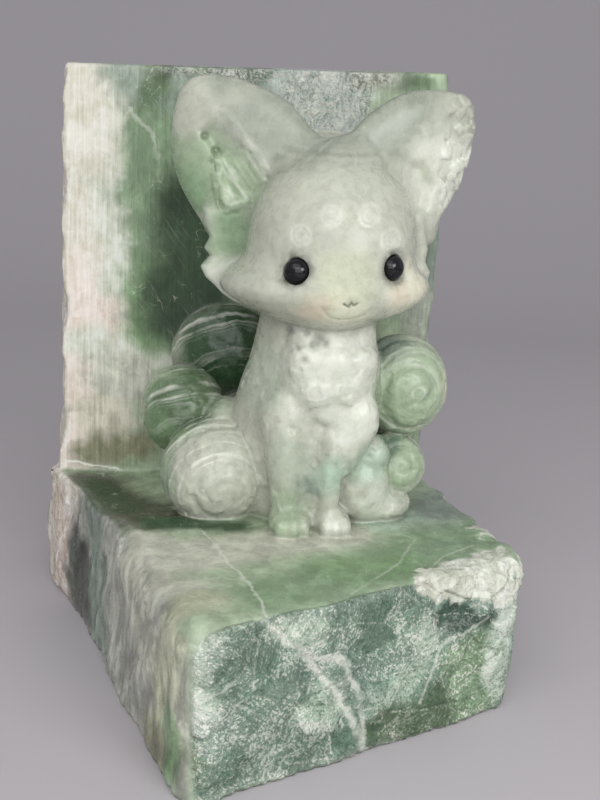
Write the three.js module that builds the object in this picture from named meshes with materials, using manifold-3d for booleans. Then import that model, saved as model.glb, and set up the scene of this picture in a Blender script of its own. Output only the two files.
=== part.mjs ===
// A nine-tailed fox carved from one block of banded fluorite, with two inlaid eye beads.
// Millimetres, +Z up. Places are written in the block's frame: X along the slab, Y back from
// the slab's front face, Z up from the underside. The finished group is then moved so that
// its origin is at the middle of its box, on the underside.

import * as THREE from 'three';
import { mergeVertices } from 'three/addons/utils/BufferGeometryUtils.js';
import Module from 'manifold-3d';

const wasm = await Module();
wasm.setup();

// Driving dimensions
const SLAB_HALF_WIDTH = 50;
const SLAB_THICKNESS = 24;
const SLAB_HEIGHT_LEFT = 147;
const SLAB_HEIGHT_RIGHT = 149;
const SLAB_ROOT = 6;
const BASE_HEIGHT = 37.4;
const BASE_FRONT_LEFT = [-4, -107];
const BASE_FRONT_RIGHT = [69.6, -57];
const CORNER_CUT = 2.6;

const FOX_YAW = 12;
const EYE_RADIUS = 2.75;
const EYE_GAP = 0.3;

const TURN = Math.PI * 2;
const UP = new THREE.Vector3(0, 0, 1);

const radians = THREE.MathUtils.degToRad;
const smooth = THREE.MathUtils.smoothstep;
const mix = THREE.MathUtils.lerp;

// Turns a closed geometry into a solid that can be joined and cut.
function solidOf(geometry) {
  const bare = geometry.clone();
  bare.deleteAttribute('normal');
  bare.deleteAttribute('uv');
  const merged = mergeVertices(bare, 1e-4);
  return new wasm.Manifold(new wasm.Mesh({
    numProp: 3,
    vertProperties: new Float32Array(merged.attributes.position.array),
    triVerts: new Uint32Array(merged.index.array),
  }));
}

// Turns a finished solid back into a geometry.
function geometryOf(solid) {
  const mesh = solid.getMesh();
  const geometry = new THREE.BufferGeometry();
  geometry.setAttribute('position', new THREE.BufferAttribute(mesh.vertProperties, 3));
  geometry.setIndex(new THREE.BufferAttribute(mesh.triVerts, 1));
  geometry.computeVertexNormals();
  return geometry;
}

// Moves every vertex of a geometry with a function of its place.
function reshape(geometry, move) {
  const places = geometry.attributes.position;
  const point = new THREE.Vector3();
  for (let i = 0; i < places.count; i += 1) {
    move(point.fromBufferAttribute(places, i));
    places.setXYZ(i, point.x, point.y, point.z);
  }
  return geometry;
}

// A low, slow unevenness between about -1 and 1, for faces left as the stone broke.
function unevenness(a, b) {
  return 0.6 * Math.sin(0.19 * a + 1.3) * Math.cos(0.16 * b + 0.4) + 0.4 * Math.sin(0.37 * a - 0.31 * b);
}

// An ellipsoid. Its pole can face any way, and relief(polar, round) carves its surface,
// where polar is the angle from the pole and round the angle about it.
function blob({ at, radii, yaw = 0, facing = [0, 0, 1], sides = 12, rings = 8, crowd = 1, relief = null }) {
  const pole = new THREE.Vector3(0, 1, 0);
  const toFacing = new THREE.Quaternion().setFromUnitVectors(pole, new THREE.Vector3(...facing).normalize());
  const centre = new THREE.Vector3(...at);
  const scale = new THREE.Vector3(...radii);
  const geometry = reshape(new THREE.SphereGeometry(1, sides, rings), (point) => {
    const even = Math.acos(THREE.MathUtils.clamp(point.y, -1, 1));
    const polar = Math.PI * (even / Math.PI) ** crowd;
    const round = Math.atan2(point.z, point.x);
    const lift = relief ? 1 + relief(polar, round) : 1;
    const across = even > 1e-6 && even < Math.PI - 1e-6 ? Math.sin(polar) * lift : 0;
    point.set(across * Math.cos(round), Math.cos(polar) * lift, across * Math.sin(round));
    point.applyQuaternion(toFacing).multiply(scale).applyAxisAngle(UP, radians(yaw)).add(centre);
  });
  return solidOf(geometry);
}

// A spiral groove that winds out from the pole, and fades before the reach.
function spiralGroove({ depth, pitch, reach, start = 0, hand = 1 }) {
  return (polar, round) => {
    const phase = polar / pitch - (hand * (round + start)) / TURN;
    const groove = Math.max(0, Math.cos(TURN * phase)) ** 2;
    const fade = smooth(polar, 0, pitch * 0.4) * (1 - smooth(polar, reach * 0.8, reach));
    return -depth * groove * fade;
  };
}

// The slab and the base

// How far the natural left and right faces stand out, at a height.
function leftCrust(height) {
  return 2.4 + 4.6 * Math.exp(-(((height - 14) / 24) ** 2)) - 1.6 * smooth(height, 110, 147);
}

function slabSolid() {
  const box = new THREE.BoxGeometry(1, 1, 1, 1, 3, 9);
  return solidOf(reshape(box, (point) => {
    const side = point.x * 2;
    const back = point.y + 0.5;
    const rise = point.z + 0.5;
    const top = mix(SLAB_HEIGHT_LEFT, SLAB_HEIGHT_RIGHT, point.x + 0.5);
    const height = rise * top;
    const rough = unevenness(height, back * SLAB_THICKNESS);
    const fromFront = smooth(back, 0, 0.45);
    const leftOut = side < -0.99 ? leftCrust(height) * mix(0.25, 1, fromFront) + rough : 0;
    const rightOut = side > 0.99 ? 1.1 + 0.8 * rough : 0;
    const edge = back > 0.99 && Math.abs(side) > 0.99 ? CORNER_CUT : 0;
    point.set(side * (SLAB_HALF_WIDTH - edge) - leftOut + rightOut, back * SLAB_THICKNESS, height);
  }));
}

function baseSolid() {
  const box = new THREE.BoxGeometry(1, 1, 1, 8, 8, 4);
  const left = new THREE.Vector2(-SLAB_HALF_WIDTH, 0);
  const right = new THREE.Vector2(SLAB_HALF_WIDTH, 0);
  const frontLeft = new THREE.Vector2(...BASE_FRONT_LEFT);
  const frontRight = new THREE.Vector2(...BASE_FRONT_RIGHT);
  const frontOut = new THREE.Vector2(
    frontRight.y - frontLeft.y,
    frontLeft.x - frontRight.x,
  ).normalize();
  return solidOf(reshape(box, (point) => {
    const across = point.x + 0.5;
    const forward = 0.5 - point.y;
    const rise = point.z + 0.5;
    const height = rise * BASE_HEIGHT;
    const place = new THREE.Vector2().lerpVectors(left, right, across);
    place.lerp(new THREE.Vector2().lerpVectors(frontLeft, frontRight, across), forward);
    const run = forward * 110;
    if (across < 0.01) {
      place.x -= leftCrust(height) * (1 - smooth(forward, 0, 0.35));
      place.x -= 2.6 * (1 - rise) * Math.sin(Math.PI * forward) + 0.7 * unevenness(run, height);
    }
    if (across > 0.99) {
      place.x += 1.2 + unevenness(run + 40, height) - 1.2 * (1 - rise) * forward;
    }
    if (forward > 0.99) {
      const bulge = 3 * (1 - rise) + 0.6 * unevenness(across * 90, height);
      const crust = 2.2 * smooth(across, 0.72, 0.95) * Math.sin(Math.PI * smooth(rise, 0.45, 1));
      place.addScaledVector(frontOut, bulge + crust);
    }
    if (forward > 0.99 && (across < 0.01 || across > 0.99)) {
      place.addScaledVector(frontOut, -CORNER_CUT);
      place.x += across < 0.5 ? CORNER_CUT * 0.5 : -CORNER_CUT * 0.3;
    }
    const depth = place.y + SLAB_ROOT * (1 - forward);
    point.set(place.x, depth, height);
  }));
}

// The body

// A closed body lofted up an axis. Each level is [half width, depth in front, height], the
// depth behind is a share of the depth in front, and drift moves the middle across.
function loftSolid({ at, levels, backShare, yaw = 0, sides = 20, steps = 12, drift = () => 0 }) {
  const spine = new THREE.CatmullRomCurve3(levels.map((level) => new THREE.Vector3(...level)));
  const curve = spine.getPoints(steps);
  const profile = curve.map((level) => new THREE.Vector2(Math.max(level.x, 0), level.z));
  profile[0].x = 0;
  profile[steps].x = 0;
  const geometry = new THREE.LatheGeometry(profile, sides);
  const places = geometry.attributes.position;
  const rows = steps + 1;
  const point = new THREE.Vector3();
  for (let i = 0; i < places.count; i += 1) {
    point.fromBufferAttribute(places, i);
    const level = curve[i % rows];
    const stretch = level.x > 0.01 ? level.y / level.x : 0;
    const forward = point.z * stretch * (point.z > 0 ? 1 : backShare);
    const height = point.y;
    point.set(point.x, -forward, height).applyAxisAngle(UP, radians(yaw));
    places.setXYZ(i, at[0] + drift(height) + point.x, at[1] + point.y, height);
  }
  return solidOf(geometry);
}

function torsoSolid() {
  return loftSolid({
    at: [0, -28],
    levels: [
      [0, 0, 36], [14, 12, 37], [17.5, 14, 47], [18.6, 15.5, 58], [18.2, 16, 70],
      [15.8, 15, 80], [14.3, 14, 89], [13, 12, 97], [0, 0, 98],
    ],
    backShare: 0.9,
    drift: (height) => mix(16.5, 19.6, smooth(height, 50, 80)),
    steps: 12,
  });
}

// Low, overlapping lumps of fur on the chest, each row lower than the last.
function ruffSolids() {
  const chest = { at: [22.6, -36, 76.5], radii: [13.2, 11.2, 15] };
  const rows = [
    { height: 85.5, count: 3, spacing: 6.8 },
    { height: 79.5, count: 3, spacing: 7.2 },
    { height: 73.5, count: 2, spacing: 7.4 },
    { height: 68.2, count: 1, spacing: 0 },
  ];
  const lump = [4.2, 2.3, 4.1];
  const sunk = 1.6;
  const solids = [blob({ ...chest, yaw: FOX_YAW, sides: 14, rings: 9 })];
  for (const row of rows) {
    for (let i = 0; i < row.count; i += 1) {
      const across = (i - (row.count - 1) / 2) * row.spacing;
      const rise = row.height - chest.at[2];
      const level = 1 - (across / chest.radii[0]) ** 2 - (rise / chest.radii[2]) ** 2;
      const out = chest.radii[1] * Math.sqrt(Math.max(level, 0.05)) - sunk;
      const offset = new THREE.Vector3(across, -out, 0).applyAxisAngle(UP, radians(FOX_YAW));
      solids.push(blob({
        at: [chest.at[0] + offset.x, chest.at[1] + offset.y, row.height],
        radii: lump,
        yaw: FOX_YAW + across * 4,
        facing: [0, -1, 0],
        sides: 9,
        rings: 6,
      }));
    }
  }
  return solids;
}

function legSolids() {
  const legs = [
    {
      shoulder: { at: [12.6, -41, 64], radii: [6, 5.6, 7.6] },
      shaft: { at: [13.8, -43.8, 51], radii: [4.2, 4.3, 14] },
      foot: { at: [15.2, -46.4, 39.4], radii: [5.2, 5.4, 3.7] },
    },
    {
      shoulder: { at: [30, -40.4, 65], radii: [6, 6, 7.6] },
      shaft: { at: [24.2, -43.4, 50], radii: [3.1, 3.8, 13] },
      foot: { at: [25.8, -44.6, 39.3], radii: [4.6, 5, 3.6] },
    },
  ];
  const toes = 3;
  const solids = [];
  for (const leg of legs) {
    const elbow = leg.shoulder.at.map((value, axis) => mix(value, leg.shaft.at[axis], 0.45));
    solids.push(blob({ ...leg.shoulder, yaw: FOX_YAW, sides: 12, rings: 7 }));
    solids.push(blob({ at: elbow, radii: [4.6, 4.8, 7], yaw: FOX_YAW, sides: 10, rings: 7 }));
    solids.push(blob({ ...leg.shaft, yaw: FOX_YAW, sides: 10, rings: 8 }));
    solids.push(blob({ ...leg.foot, yaw: FOX_YAW, sides: 12, rings: 6 }));
    for (let i = 0; i < toes; i += 1) {
      const swing = radians(FOX_YAW + (i - 1) * 34);
      const reach = leg.foot.radii[0] * 0.72;
      const [x, y] = leg.foot.at;
      solids.push(blob({
        at: [x + reach * Math.sin(swing), y - reach * Math.cos(swing), 38.9],
        radii: [2, 2.4, 2.3],
        yaw: FOX_YAW + (i - 1) * 34,
        sides: 8,
        rings: 5,
      }));
    }
  }
  return solids;
}

function haunchSolids() {
  return [
    blob({ at: [8.4, -32, 47], radii: [7.5, 8, 10.5], yaw: FOX_YAW, sides: 10, rings: 7 }),
    blob({ at: [32, -34, 47], radii: [8, 8.8, 10.5], yaw: FOX_YAW }),
  ];
}

// The head

function headSolid() {
  return loftSolid({
    at: [0, -32],
    levels: [
      [0, 0, 86.4], [8, 12.5, 87.4], [18.6, 19.4, 91.2], [24.6, 22, 95], [26.2, 22.8, 98.8],
      [23.4, 22.4, 103.4], [20.9, 21.2, 108.6], [18.9, 18.6, 115.5], [14.2, 13.6, 122.4],
      [7.4, 7.4, 127], [0, 0, 128.8],
    ],
    backShare: 0.86,
    yaw: FOX_YAW,
    drift: (height) => mix(20.7, 22.2, smooth(height, 96, 108)),
    sides: 26,
    steps: 16,
  });
}

// Thin flaps of fur behind the cheeks, with ragged outer edges.
function cheekFurSolids() {
  const flaps = [
    {
      outline: [
        [6, 89], [8, 117], [-10, 113.6], [-9.6, 110], [-8.1, 106.8], [-9.4, 103.8],
        [-8, 102], [-10.2, 99.3], [-8.8, 96.6], [-6.6, 94.8], [-4.6, 92.8], [-1, 90.6],
      ],
      front: -30.5,
      depth: 8,
    },
    {
      outline: [
        [37, 90], [43.5, 93.6], [46, 96.6], [47, 100.4], [45.6, 103], [46, 106],
        [45, 110], [44, 115], [36, 119],
      ],
      front: -29,
      depth: 8,
    },
  ];
  return flaps.map(({ outline, front, depth }) => {
    const shape = new THREE.Shape(outline.map(([x, z]) => new THREE.Vector2(x, z)));
    const bevel = 1;
    const geometry = new THREE.ExtrudeGeometry(shape, {
      depth: depth - 2 * bevel,
      bevelThickness: bevel,
      bevelSize: bevel,
      bevelOffset: -bevel,
      bevelSegments: 1,
    });
    geometry.rotateX(Math.PI / 2);
    geometry.translate(0, front + depth - bevel, 0);
    return solidOf(geometry);
  });
}

// Low round dots on the forehead, deeply sunk in it.
function browDotSolids() {
  const dots = [[21.2, -46, 115.4], [30, -44.4, 115.8], [14.4, -47.1, 110.5], [35.4, -42.3, 110.3]];
  const size = 3.2;
  return dots.map((at) => blob({ at, radii: [size, size, size], facing: [0, -1, 0], sides: 10, rings: 6 }));
}

// A broad ear: a rounded triangle seen from the front, hollow on its face, whose back
// narrows until it meets the slab. The outline runs around the middle as [x, z] offsets.
function earSolid({ middle, outline, slope, front, back, hollow }) {
  const sides = 20;
  const rings = 10;
  const curve = new THREE.CatmullRomCurve3(
    outline.map(([x, z]) => new THREE.Vector3(x - middle[0], z - middle[2], 0)),
    true,
  );
  const rim = curve.getSpacedPoints(sides);
  const geometry = new THREE.SphereGeometry(1, sides, rings);
  const width = sides + 1;
  const places = geometry.attributes.position;
  const lean = radians(hollow.lean);
  for (let i = 0; i < places.count; i += 1) {
    const polar = (Math.floor(i / width) / rings) * Math.PI;
    const edge = rim[(i % width) % sides];
    const along = Math.cos(polar);
    const reach = along > 0 ? Math.sin(polar) ** 0.8 : (1 + along) ** 1.15;
    const x = edge.x * reach;
    const z = edge.y * reach;
    const fromX = x - hollow.at[0];
    const fromZ = z - hollow.at[1];
    const cross = (fromX * Math.cos(lean) + fromZ * Math.sin(lean)) / hollow.size[0];
    const climb = (fromZ * Math.cos(lean) - fromX * Math.sin(lean)) / hollow.size[1];
    const dish = hollow.depth * (1 - smooth(Math.hypot(cross, climb), 0.35, 1));
    const y = along > 0 ? dish - front * Math.sqrt(along) : -back * along;
    places.setXYZ(i, middle[0] + x, middle[1] + y + slope * x, middle[2] + z);
  }
  return solidOf(geometry);
}

function earSolids() {
  const rightEar = earSolid({
    middle: [0.6, -24, 126],
    outline: [
      [8, 108], [19, 127], [13.5, 136], [7.7, 141], [-1.5, 144.4], [-8, 145.3],
      [-14.2, 144], [-17.4, 138.9], [-18.6, 129.3], [-16.6, 119.7], [-11, 110.4], [-6.5, 106],
    ],
    slope: -0.1,
    front: 7,
    back: 42,
    hollow: { at: [-1.6, 0], size: [8.6, 14], depth: 5.5, lean: 28 },
  });
  const leftEar = earSolid({
    middle: [38.6, -23.5, 126],
    outline: [
      [34, 108], [46.5, 106.5], [49.2, 112.7], [52.6, 120.2], [55.6, 130.2], [56, 138.8],
      [53.3, 143.2], [49, 144], [43.5, 144.2], [37.5, 143.2], [31.5, 139.6], [25.9, 134.4], [21.5, 127],
    ],
    slope: 0.4,
    front: 7,
    back: 40,
    hollow: { at: [3.4, -3.5], size: [7, 13.5], depth: 5.5, lean: -22 },
  });
  return [rightEar, leftEar];
}

// The stone left between the back of the figure and the slab.
function bridgeSolids() {
  return [
    blob({ at: [19.3, -8, 111], radii: [20, 26, 21], sides: 14, rings: 9 }),
    blob({ at: [19, -8, 84], radii: [14, 14, 16], sides: 12, rings: 8 }),
  ];
}

// The tails

// Each tail curls into a ball whose tip winds into a spiral on the face that shows.
function tailSolids() {
  const curled = [
    { at: [-4.6, -32, 47.2], radii: [13.9, 13.9, 13.9], facing: [0.25, -0.93, -0.27], pitch: 44, hand: 1 },
    { at: [-14.6, -18.5, 59.4], radii: [11.2, 12, 12], facing: [-0.3, -1, -0.2], pitch: 60, hand: 1 },
    { at: [42, -22, 70.2], radii: [12.4, 12.4, 13], facing: [0.31, -0.95, 0.04], pitch: 44, hand: -1 },
    { at: [41, -25.5, 49.2], radii: [8.9, 9.6, 9], facing: [0.27, -0.94, 0.22], pitch: 60, hand: -1 },
    { at: [34.4, -35.5, 55.2], radii: [5.4, 5.2, 5.4], facing: [0.06, -0.96, 0.29], pitch: 70, hand: -1 },
  ];
  const plain = [
    { at: [-5, -1, 70], radii: [15, 6, 15] },
    { at: [-3, -25, 56.5], radii: [7, 8, 8.8] },
    { at: [-11, -9, 46.5], radii: [10, 10.5, 10.5] },
    { at: [37, -31.5, 41], radii: [8.8, 7, 4.8] },
    { at: [30, -8, 58], radii: [13, 10, 13] },
  ];
  const solids = curled.map(({ at, radii, facing, pitch, hand }) => blob({
    at,
    radii,
    facing,
    sides: radii[0] > 10 ? 20 : 14,
    rings: radii[0] > 10 ? 13 : 9,
    crowd: 1.3,
    relief: spiralGroove({ depth: 0.09, pitch: radians(pitch), reach: radians(125), hand }),
  }));
  for (const tail of plain) {
    solids.push(blob({ ...tail, sides: 12, rings: 8 }));
  }
  return solids;
}

// The eyes

// Where an eye sits on the face, and the way it looks.
const EYES = [
  { name: 'right_eye_bead', at: [14.1, -51.5, 102.4], looks: [-0.33, -0.93, 0.1] },
  { name: 'left_eye_bead', at: [36, -47.2, 103.8], looks: [0.72, -0.68, 0.12] },
];

function socketSolid({ at, looks }) {
  const radius = EYE_RADIUS + EYE_GAP;
  const profile = [];
  const arcSteps = 3;
  for (let i = 0; i <= arcSteps; i += 1) {
    const angle = (i / arcSteps) * (Math.PI / 2);
    profile.push(new THREE.Vector2(radius * Math.sin(angle), -radius * Math.cos(angle)));
  }
  profile[0].x = 0;
  profile.push(new THREE.Vector2(radius, 8));
  profile.push(new THREE.Vector2(0, 8));
  const geometry = new THREE.LatheGeometry(profile, 10);
  const turn = new THREE.Quaternion().setFromUnitVectors(
    new THREE.Vector3(0, 1, 0),
    new THREE.Vector3(...looks).normalize(),
  );
  geometry.applyQuaternion(turn);
  geometry.translate(...at);
  return solidOf(geometry);
}

function eyeBead({ name, at }) {
  const material = new THREE.MeshStandardMaterial({ color: 0x0b0b10, roughness: 0.12, metalness: 0 });
  const bead = new THREE.Mesh(new THREE.SphereGeometry(EYE_RADIUS, 12, 8), material);
  bead.name = name;
  bead.position.set(...at);
  return bead;
}

function carvedStone() {
  const forms = [
    baseSolid(),
    torsoSolid(),
    ...ruffSolids(),
    ...legSolids(),
    ...haunchSolids(),
    headSolid(),
    ...cheekFurSolids(),
    ...browDotSolids(),
    ...earSolids(),
    ...bridgeSolids(),
    ...tailSolids(),
  ];
  let stone = slabSolid();
  for (const form of forms) {
    stone = stone.add(form);
  }
  for (const eye of EYES) {
    stone = stone.subtract(socketSolid(eye));
  }
  const material = new THREE.MeshStandardMaterial({ color: 0xa9bfa6, roughness: 0.42, metalness: 0 });
  const mesh = new THREE.Mesh(geometryOf(stone), material);
  mesh.name = 'carved_stone';
  return mesh;
}

const carving = new THREE.Group();
const stoneMesh = carvedStone();
carving.add(stoneMesh);
for (const eye of EYES) {
  carving.add(eyeBead(eye));
}
const box = new THREE.Box3().setFromObject(stoneMesh);
carving.position.set(-(box.min.x + box.max.x) / 2, -(box.min.y + box.max.y) / 2, -box.min.z);

export default carving;
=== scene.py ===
"""A nine-tailed fox carved from one block of banded fluorite: the dressed model and its studio.

Places are written in millimetres in the block's frame, as in the part's source: X along the
slab, Y back from the slab's front face, Z up from the underside.
"""
import math
from itertools import product

import bmesh
import bpy
import numpy as np
from mathutils import Matrix, Vector


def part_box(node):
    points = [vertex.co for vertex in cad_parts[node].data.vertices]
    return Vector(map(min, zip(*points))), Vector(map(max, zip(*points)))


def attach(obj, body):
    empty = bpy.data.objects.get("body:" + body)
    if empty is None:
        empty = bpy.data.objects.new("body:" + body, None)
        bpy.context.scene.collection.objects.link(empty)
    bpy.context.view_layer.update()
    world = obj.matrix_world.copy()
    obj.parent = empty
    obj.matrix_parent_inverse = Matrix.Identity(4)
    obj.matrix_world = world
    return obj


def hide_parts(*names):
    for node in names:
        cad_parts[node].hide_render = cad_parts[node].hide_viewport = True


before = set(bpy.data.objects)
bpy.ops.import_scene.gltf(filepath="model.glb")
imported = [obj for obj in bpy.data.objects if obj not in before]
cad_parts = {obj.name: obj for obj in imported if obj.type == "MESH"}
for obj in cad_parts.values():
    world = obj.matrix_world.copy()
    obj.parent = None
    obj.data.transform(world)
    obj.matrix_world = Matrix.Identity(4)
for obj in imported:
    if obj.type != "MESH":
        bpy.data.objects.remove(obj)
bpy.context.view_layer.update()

# Millimetres in a metre
METRE = 1000.0

# Driving dimensions, as in the part's source
SLAB_HALF_WIDTH = 50.0
SLAB_THICKNESS = 24.0
SLAB_HEIGHT_LEFT = 147.0
SLAB_HEIGHT_RIGHT = 149.0
SLAB_ROOT = 6.0
BASE_HEIGHT = 37.4
FOOT_DIP = 2.6
BASE_FRONT_LEFT = (-4.0, -107.0)
BASE_FRONT_RIGHT = (69.6, -57.0)
FOX_YAW = 12.0

# The beads as polished, a little larger than their plain solids and flatter the way they look
BEAD_RADIUS = 3.05
BEAD_FLATNESS = 0.85

EYES = {
    "right_eye_bead": {"at": (14.1, -51.5, 102.4), "looks": (-0.33, -0.93, 0.10)},
    "left_eye_bead": {"at": (36.0, -47.2, 103.8), "looks": (0.72, -0.68, 0.12)},
}


def block_offset():
    """The move from the block's frame to the shared frame, read from where an eye bead sits."""
    low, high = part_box("right_eye_bead")
    middle = (np.array(low) + np.array(high)) / 2 * METRE
    return middle - np.array(EYES["right_eye_bead"]["at"])


# Both frames have their 0 at the underside
OFFSET = block_offset()
OFFSET[2] = 0.0


def to_frame(point):
    """A place in the block's frame, in metres in the shared frame."""
    return Vector((np.array(point) + OFFSET) / METRE)


def show(name, data):
    """A new object, added to the scene."""
    made = bpy.data.objects.new(name, data)
    bpy.context.scene.collection.objects.link(made)
    return made


# Noise

# Large odd numbers that scatter the cells, then the shifts and numbers that stir the result
CELL_FACTORS = (374761393, 668265263, 2246822519)
SEED_FACTOR = 3266489917
STIRS = ((13, 1274126177), (15, 2654435761))
LAST_SHIFT = 16
LOW_BITS = 0xFFFFFF

# Cells are counted from far outside the block, so that every number is above 0
FIRST_CELL = 1000.0
CORNERS = list(product((0, 1), repeat=3))


def hashed(ix, iy, iz, seed):
    """An even random value from 0 to 1 for each whole-numbered cell."""
    n = np.uint32((seed * SEED_FACTOR) % 2**32)
    for cell, factor in zip((ix, iy, iz), CELL_FACTORS):
        n = n + cell.astype(np.uint32) * np.uint32(factor)
    for shift, factor in STIRS:
        n = (n ^ (n >> np.uint32(shift))) * np.uint32(factor)
    n = n ^ (n >> np.uint32(LAST_SHIFT))
    return (n & np.uint32(LOW_BITS)).astype(np.float32) / float(LOW_BITS)


def in_cells(points, size):
    """Places counted in cells of a size, and the whole-numbered cell that each lies in."""
    places = points / size + FIRST_CELL
    return places, np.floor(places).astype(np.int64)


def corner_shares(part):
    """The steps to each corner of a cell, and its share at places part of the way in."""
    for dz, dy, dx in CORNERS:
        shares = [part[:, k] if step else 1 - part[:, k] for k, step in enumerate((dx, dy, dz))]
        yield (dx, dy, dz), shares[0] * shares[1] * shares[2]


def squeezed(points, share):
    """Points with their heights squeezed, so that noise over them runs upright."""
    return points * np.array([1, 1, share])


def value_noise(points, size, seed):
    """Smooth noise from -1 to 1 with features of a size in millimetres."""
    places, cell = in_cells(points, size)
    part = (places - cell).astype(np.float32)
    part = part * part * part * (part * (part * 6 - 15) + 10)
    total = np.zeros(len(points), np.float32)
    for (dx, dy, dz), share in corner_shares(part):
        total += share * hashed(cell[:, 0] + dx, cell[:, 1] + dy, cell[:, 2] + dz, seed)
    return total * 2 - 1


def layered_noise(points, size, seed, layers=4, gain=0.5):
    """Noise with finer and finer layers added."""
    total = np.zeros(len(points), np.float32)
    share = 1.0
    whole = 0.0
    for layer in range(layers):
        total += share * value_noise(points, size / 2.03**layer, seed + layer * 17)
        whole += share
        share *= gain
    return total / whole


def broken_facets(points, size, seed, tilt=0.5):
    """Flat, tilted facets as stone breaks in, from about -1 to 1, and how near each seam is."""
    places, cell = in_cells(points, size)
    nearest = np.full(len(points), 9.0, np.float32)
    second = nearest.copy()
    height = np.zeros(len(points), np.float32)
    for step in product((-1, 0, 1), repeat=3):
        beside = cell + step
        seeds = [hashed(*beside.T, seed + k) for k in range(7)]
        away = [places[:, k] - (beside[:, k] + seeds[k]) for k in range(3)]
        gap = np.sqrt(away[0] ** 2 + away[1] ** 2 + away[2] ** 2).astype(np.float32)
        plane = seeds[3] * 2 - 1
        for k in range(3):
            plane = plane + (seeds[4 + k] * 2 - 1) * away[k] * tilt * 2
        closer = gap < nearest
        second = np.where(closer, nearest, np.minimum(second, gap))
        height = np.where(closer, plane, height)
        nearest = np.where(closer, gap, nearest)
    return height.astype(np.float32), second - nearest


def ramp(value, low, high):
    """A smooth step from 0 at low to 1 at high."""
    t = np.clip((value - low) / (high - low), 0, 1)
    return t * t * (3 - 2 * t)


def fall(value, low, high):
    """A smooth step from 1 at low to 0 at high."""
    return 1 - ramp(value, low, high)


def mix(a, b, share):
    return a + (b - a) * share


# The field of distances, on a grid through the block

STEP = 0.42
GRID_LOW = np.array([-61.5, -115.0, -2.5])
GRID_HIGH = np.array([76.5, 27.5, 152.5])
AXES = [np.arange(GRID_LOW[k], GRID_HIGH[k], STEP, dtype=np.float32) for k in range(3)]
GRID_SHAPE = tuple(len(axis) for axis in AXES)
FAR = 12.0


def smooth_min(a, b, blend):
    """The smaller of two distances, with a fillet of a width where they meet."""
    blend = np.maximum(blend, 1e-4)
    overlap = np.maximum(blend - np.abs(a - b), 0) / blend
    return np.minimum(a, b) - overlap * overlap * blend / 4


def smooth_max(a, b, blend):
    return -smooth_min(-a, -b, blend)


def cut_by(gap, cuts):
    """A form's distances after each cut, given as a face's distances and its fillet."""
    for face, blend in cuts:
        gap = smooth_max(gap, face, blend)
    return gap


def window(low, high):
    """The part of the grid that holds a box, and the coordinates in it."""
    parts = []
    for k in range(3):
        first = max(0, int((low[k] - GRID_LOW[k]) / STEP))
        last = min(GRID_SHAPE[k], int((high[k] - GRID_LOW[k]) / STEP) + 2)
        parts.append(slice(first, last))
    x = AXES[0][parts[0]][:, None, None]
    y = AXES[1][parts[1]][None, :, None]
    z = AXES[2][parts[2]][None, None, :]
    return tuple(parts), (x, y, z)


def join(field, form, blend):
    """Adds a form to a field. A form is its box and a function that gives its distances."""
    low, high, distances = form
    reach = 7.5
    parts, (x, y, z) = window(np.array(low) - reach, np.array(high) + reach)
    blend = blend(x, y, z) if callable(blend) else blend
    field[parts] = smooth_min(field[parts], distances(x, y, z).astype(np.float32), blend)


def evened(level):
    """Turns any smooth level function into distances, from how steep it is."""
    steep = np.gradient(level, STEP)
    slope = np.sqrt(steep[0] ** 2 + steep[1] ** 2 + steep[2] ** 2)
    return level / np.maximum(slope, 1e-3)


def turned(x, y, angle):
    """Turns a place about the upright, in degrees."""
    c, s = math.cos(math.radians(angle)), math.sin(math.radians(angle))
    return x * c - y * s, x * s + y * c


def ellipsoid(at, radii, yaw=0.0, relief=None):
    """An ellipsoid, with relief(x, y, z) added where it is given, as millimetres cut away."""
    rx, ry, rz = radii
    wide = max(rx, ry)
    low = (at[0] - wide, at[1] - wide, at[2] - rz)
    high = (at[0] + wide, at[1] + wide, at[2] + rz)

    def distances(x, y, z):
        px, py = turned(x - at[0], y - at[1], -yaw)
        pz = z - at[2]
        near = np.sqrt((px / rx) ** 2 + (py / ry) ** 2 + (pz / rz) ** 2)
        steep = np.sqrt((px / rx**2) ** 2 + (py / ry**2) ** 2 + (pz / rz**2) ** 2)
        gap = near * (near - 1) / np.maximum(steep, 1e-4)
        return gap if relief is None else gap + relief(px, py, pz)

    return low, high, distances


# The block

def side_line(start, end):
    """A vertical side of the base: its start, its direction, the way it faces and its length."""
    start, end = np.array(start), np.array(end)
    length = np.linalg.norm(end - start)
    along = (end - start) / length
    return start, along, np.array([along[1], -along[0]]), length


LEFT_SIDE = side_line((-SLAB_HALF_WIDTH, SLAB_ROOT), BASE_FRONT_LEFT)
FRONT_SIDE = side_line(BASE_FRONT_LEFT, BASE_FRONT_RIGHT)
RIGHT_SIDE = side_line(BASE_FRONT_RIGHT, (SLAB_HALF_WIDTH, SLAB_ROOT))

# Fillets at sawn corners, at the broken edges of the slab and at the underside
SAWN_FILLET = 0.2
BROKEN_FILLET = 1.2
UNDER_FILLET = 0.6


def unevenness(a, b):
    """A low, slow unevenness for faces left as the stone broke."""
    return 0.6 * np.sin(0.19 * a + 1.3) * np.cos(0.16 * b + 0.4) + 0.4 * np.sin(0.37 * a - 0.31 * b)


def left_crust(height):
    """How far the crust on the left side stands out, at heights."""
    return 2.4 + 4.6 * np.exp(-(((height - 14) / 24) ** 2)) - 1.6 * ramp(height, 110, 147)


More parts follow.
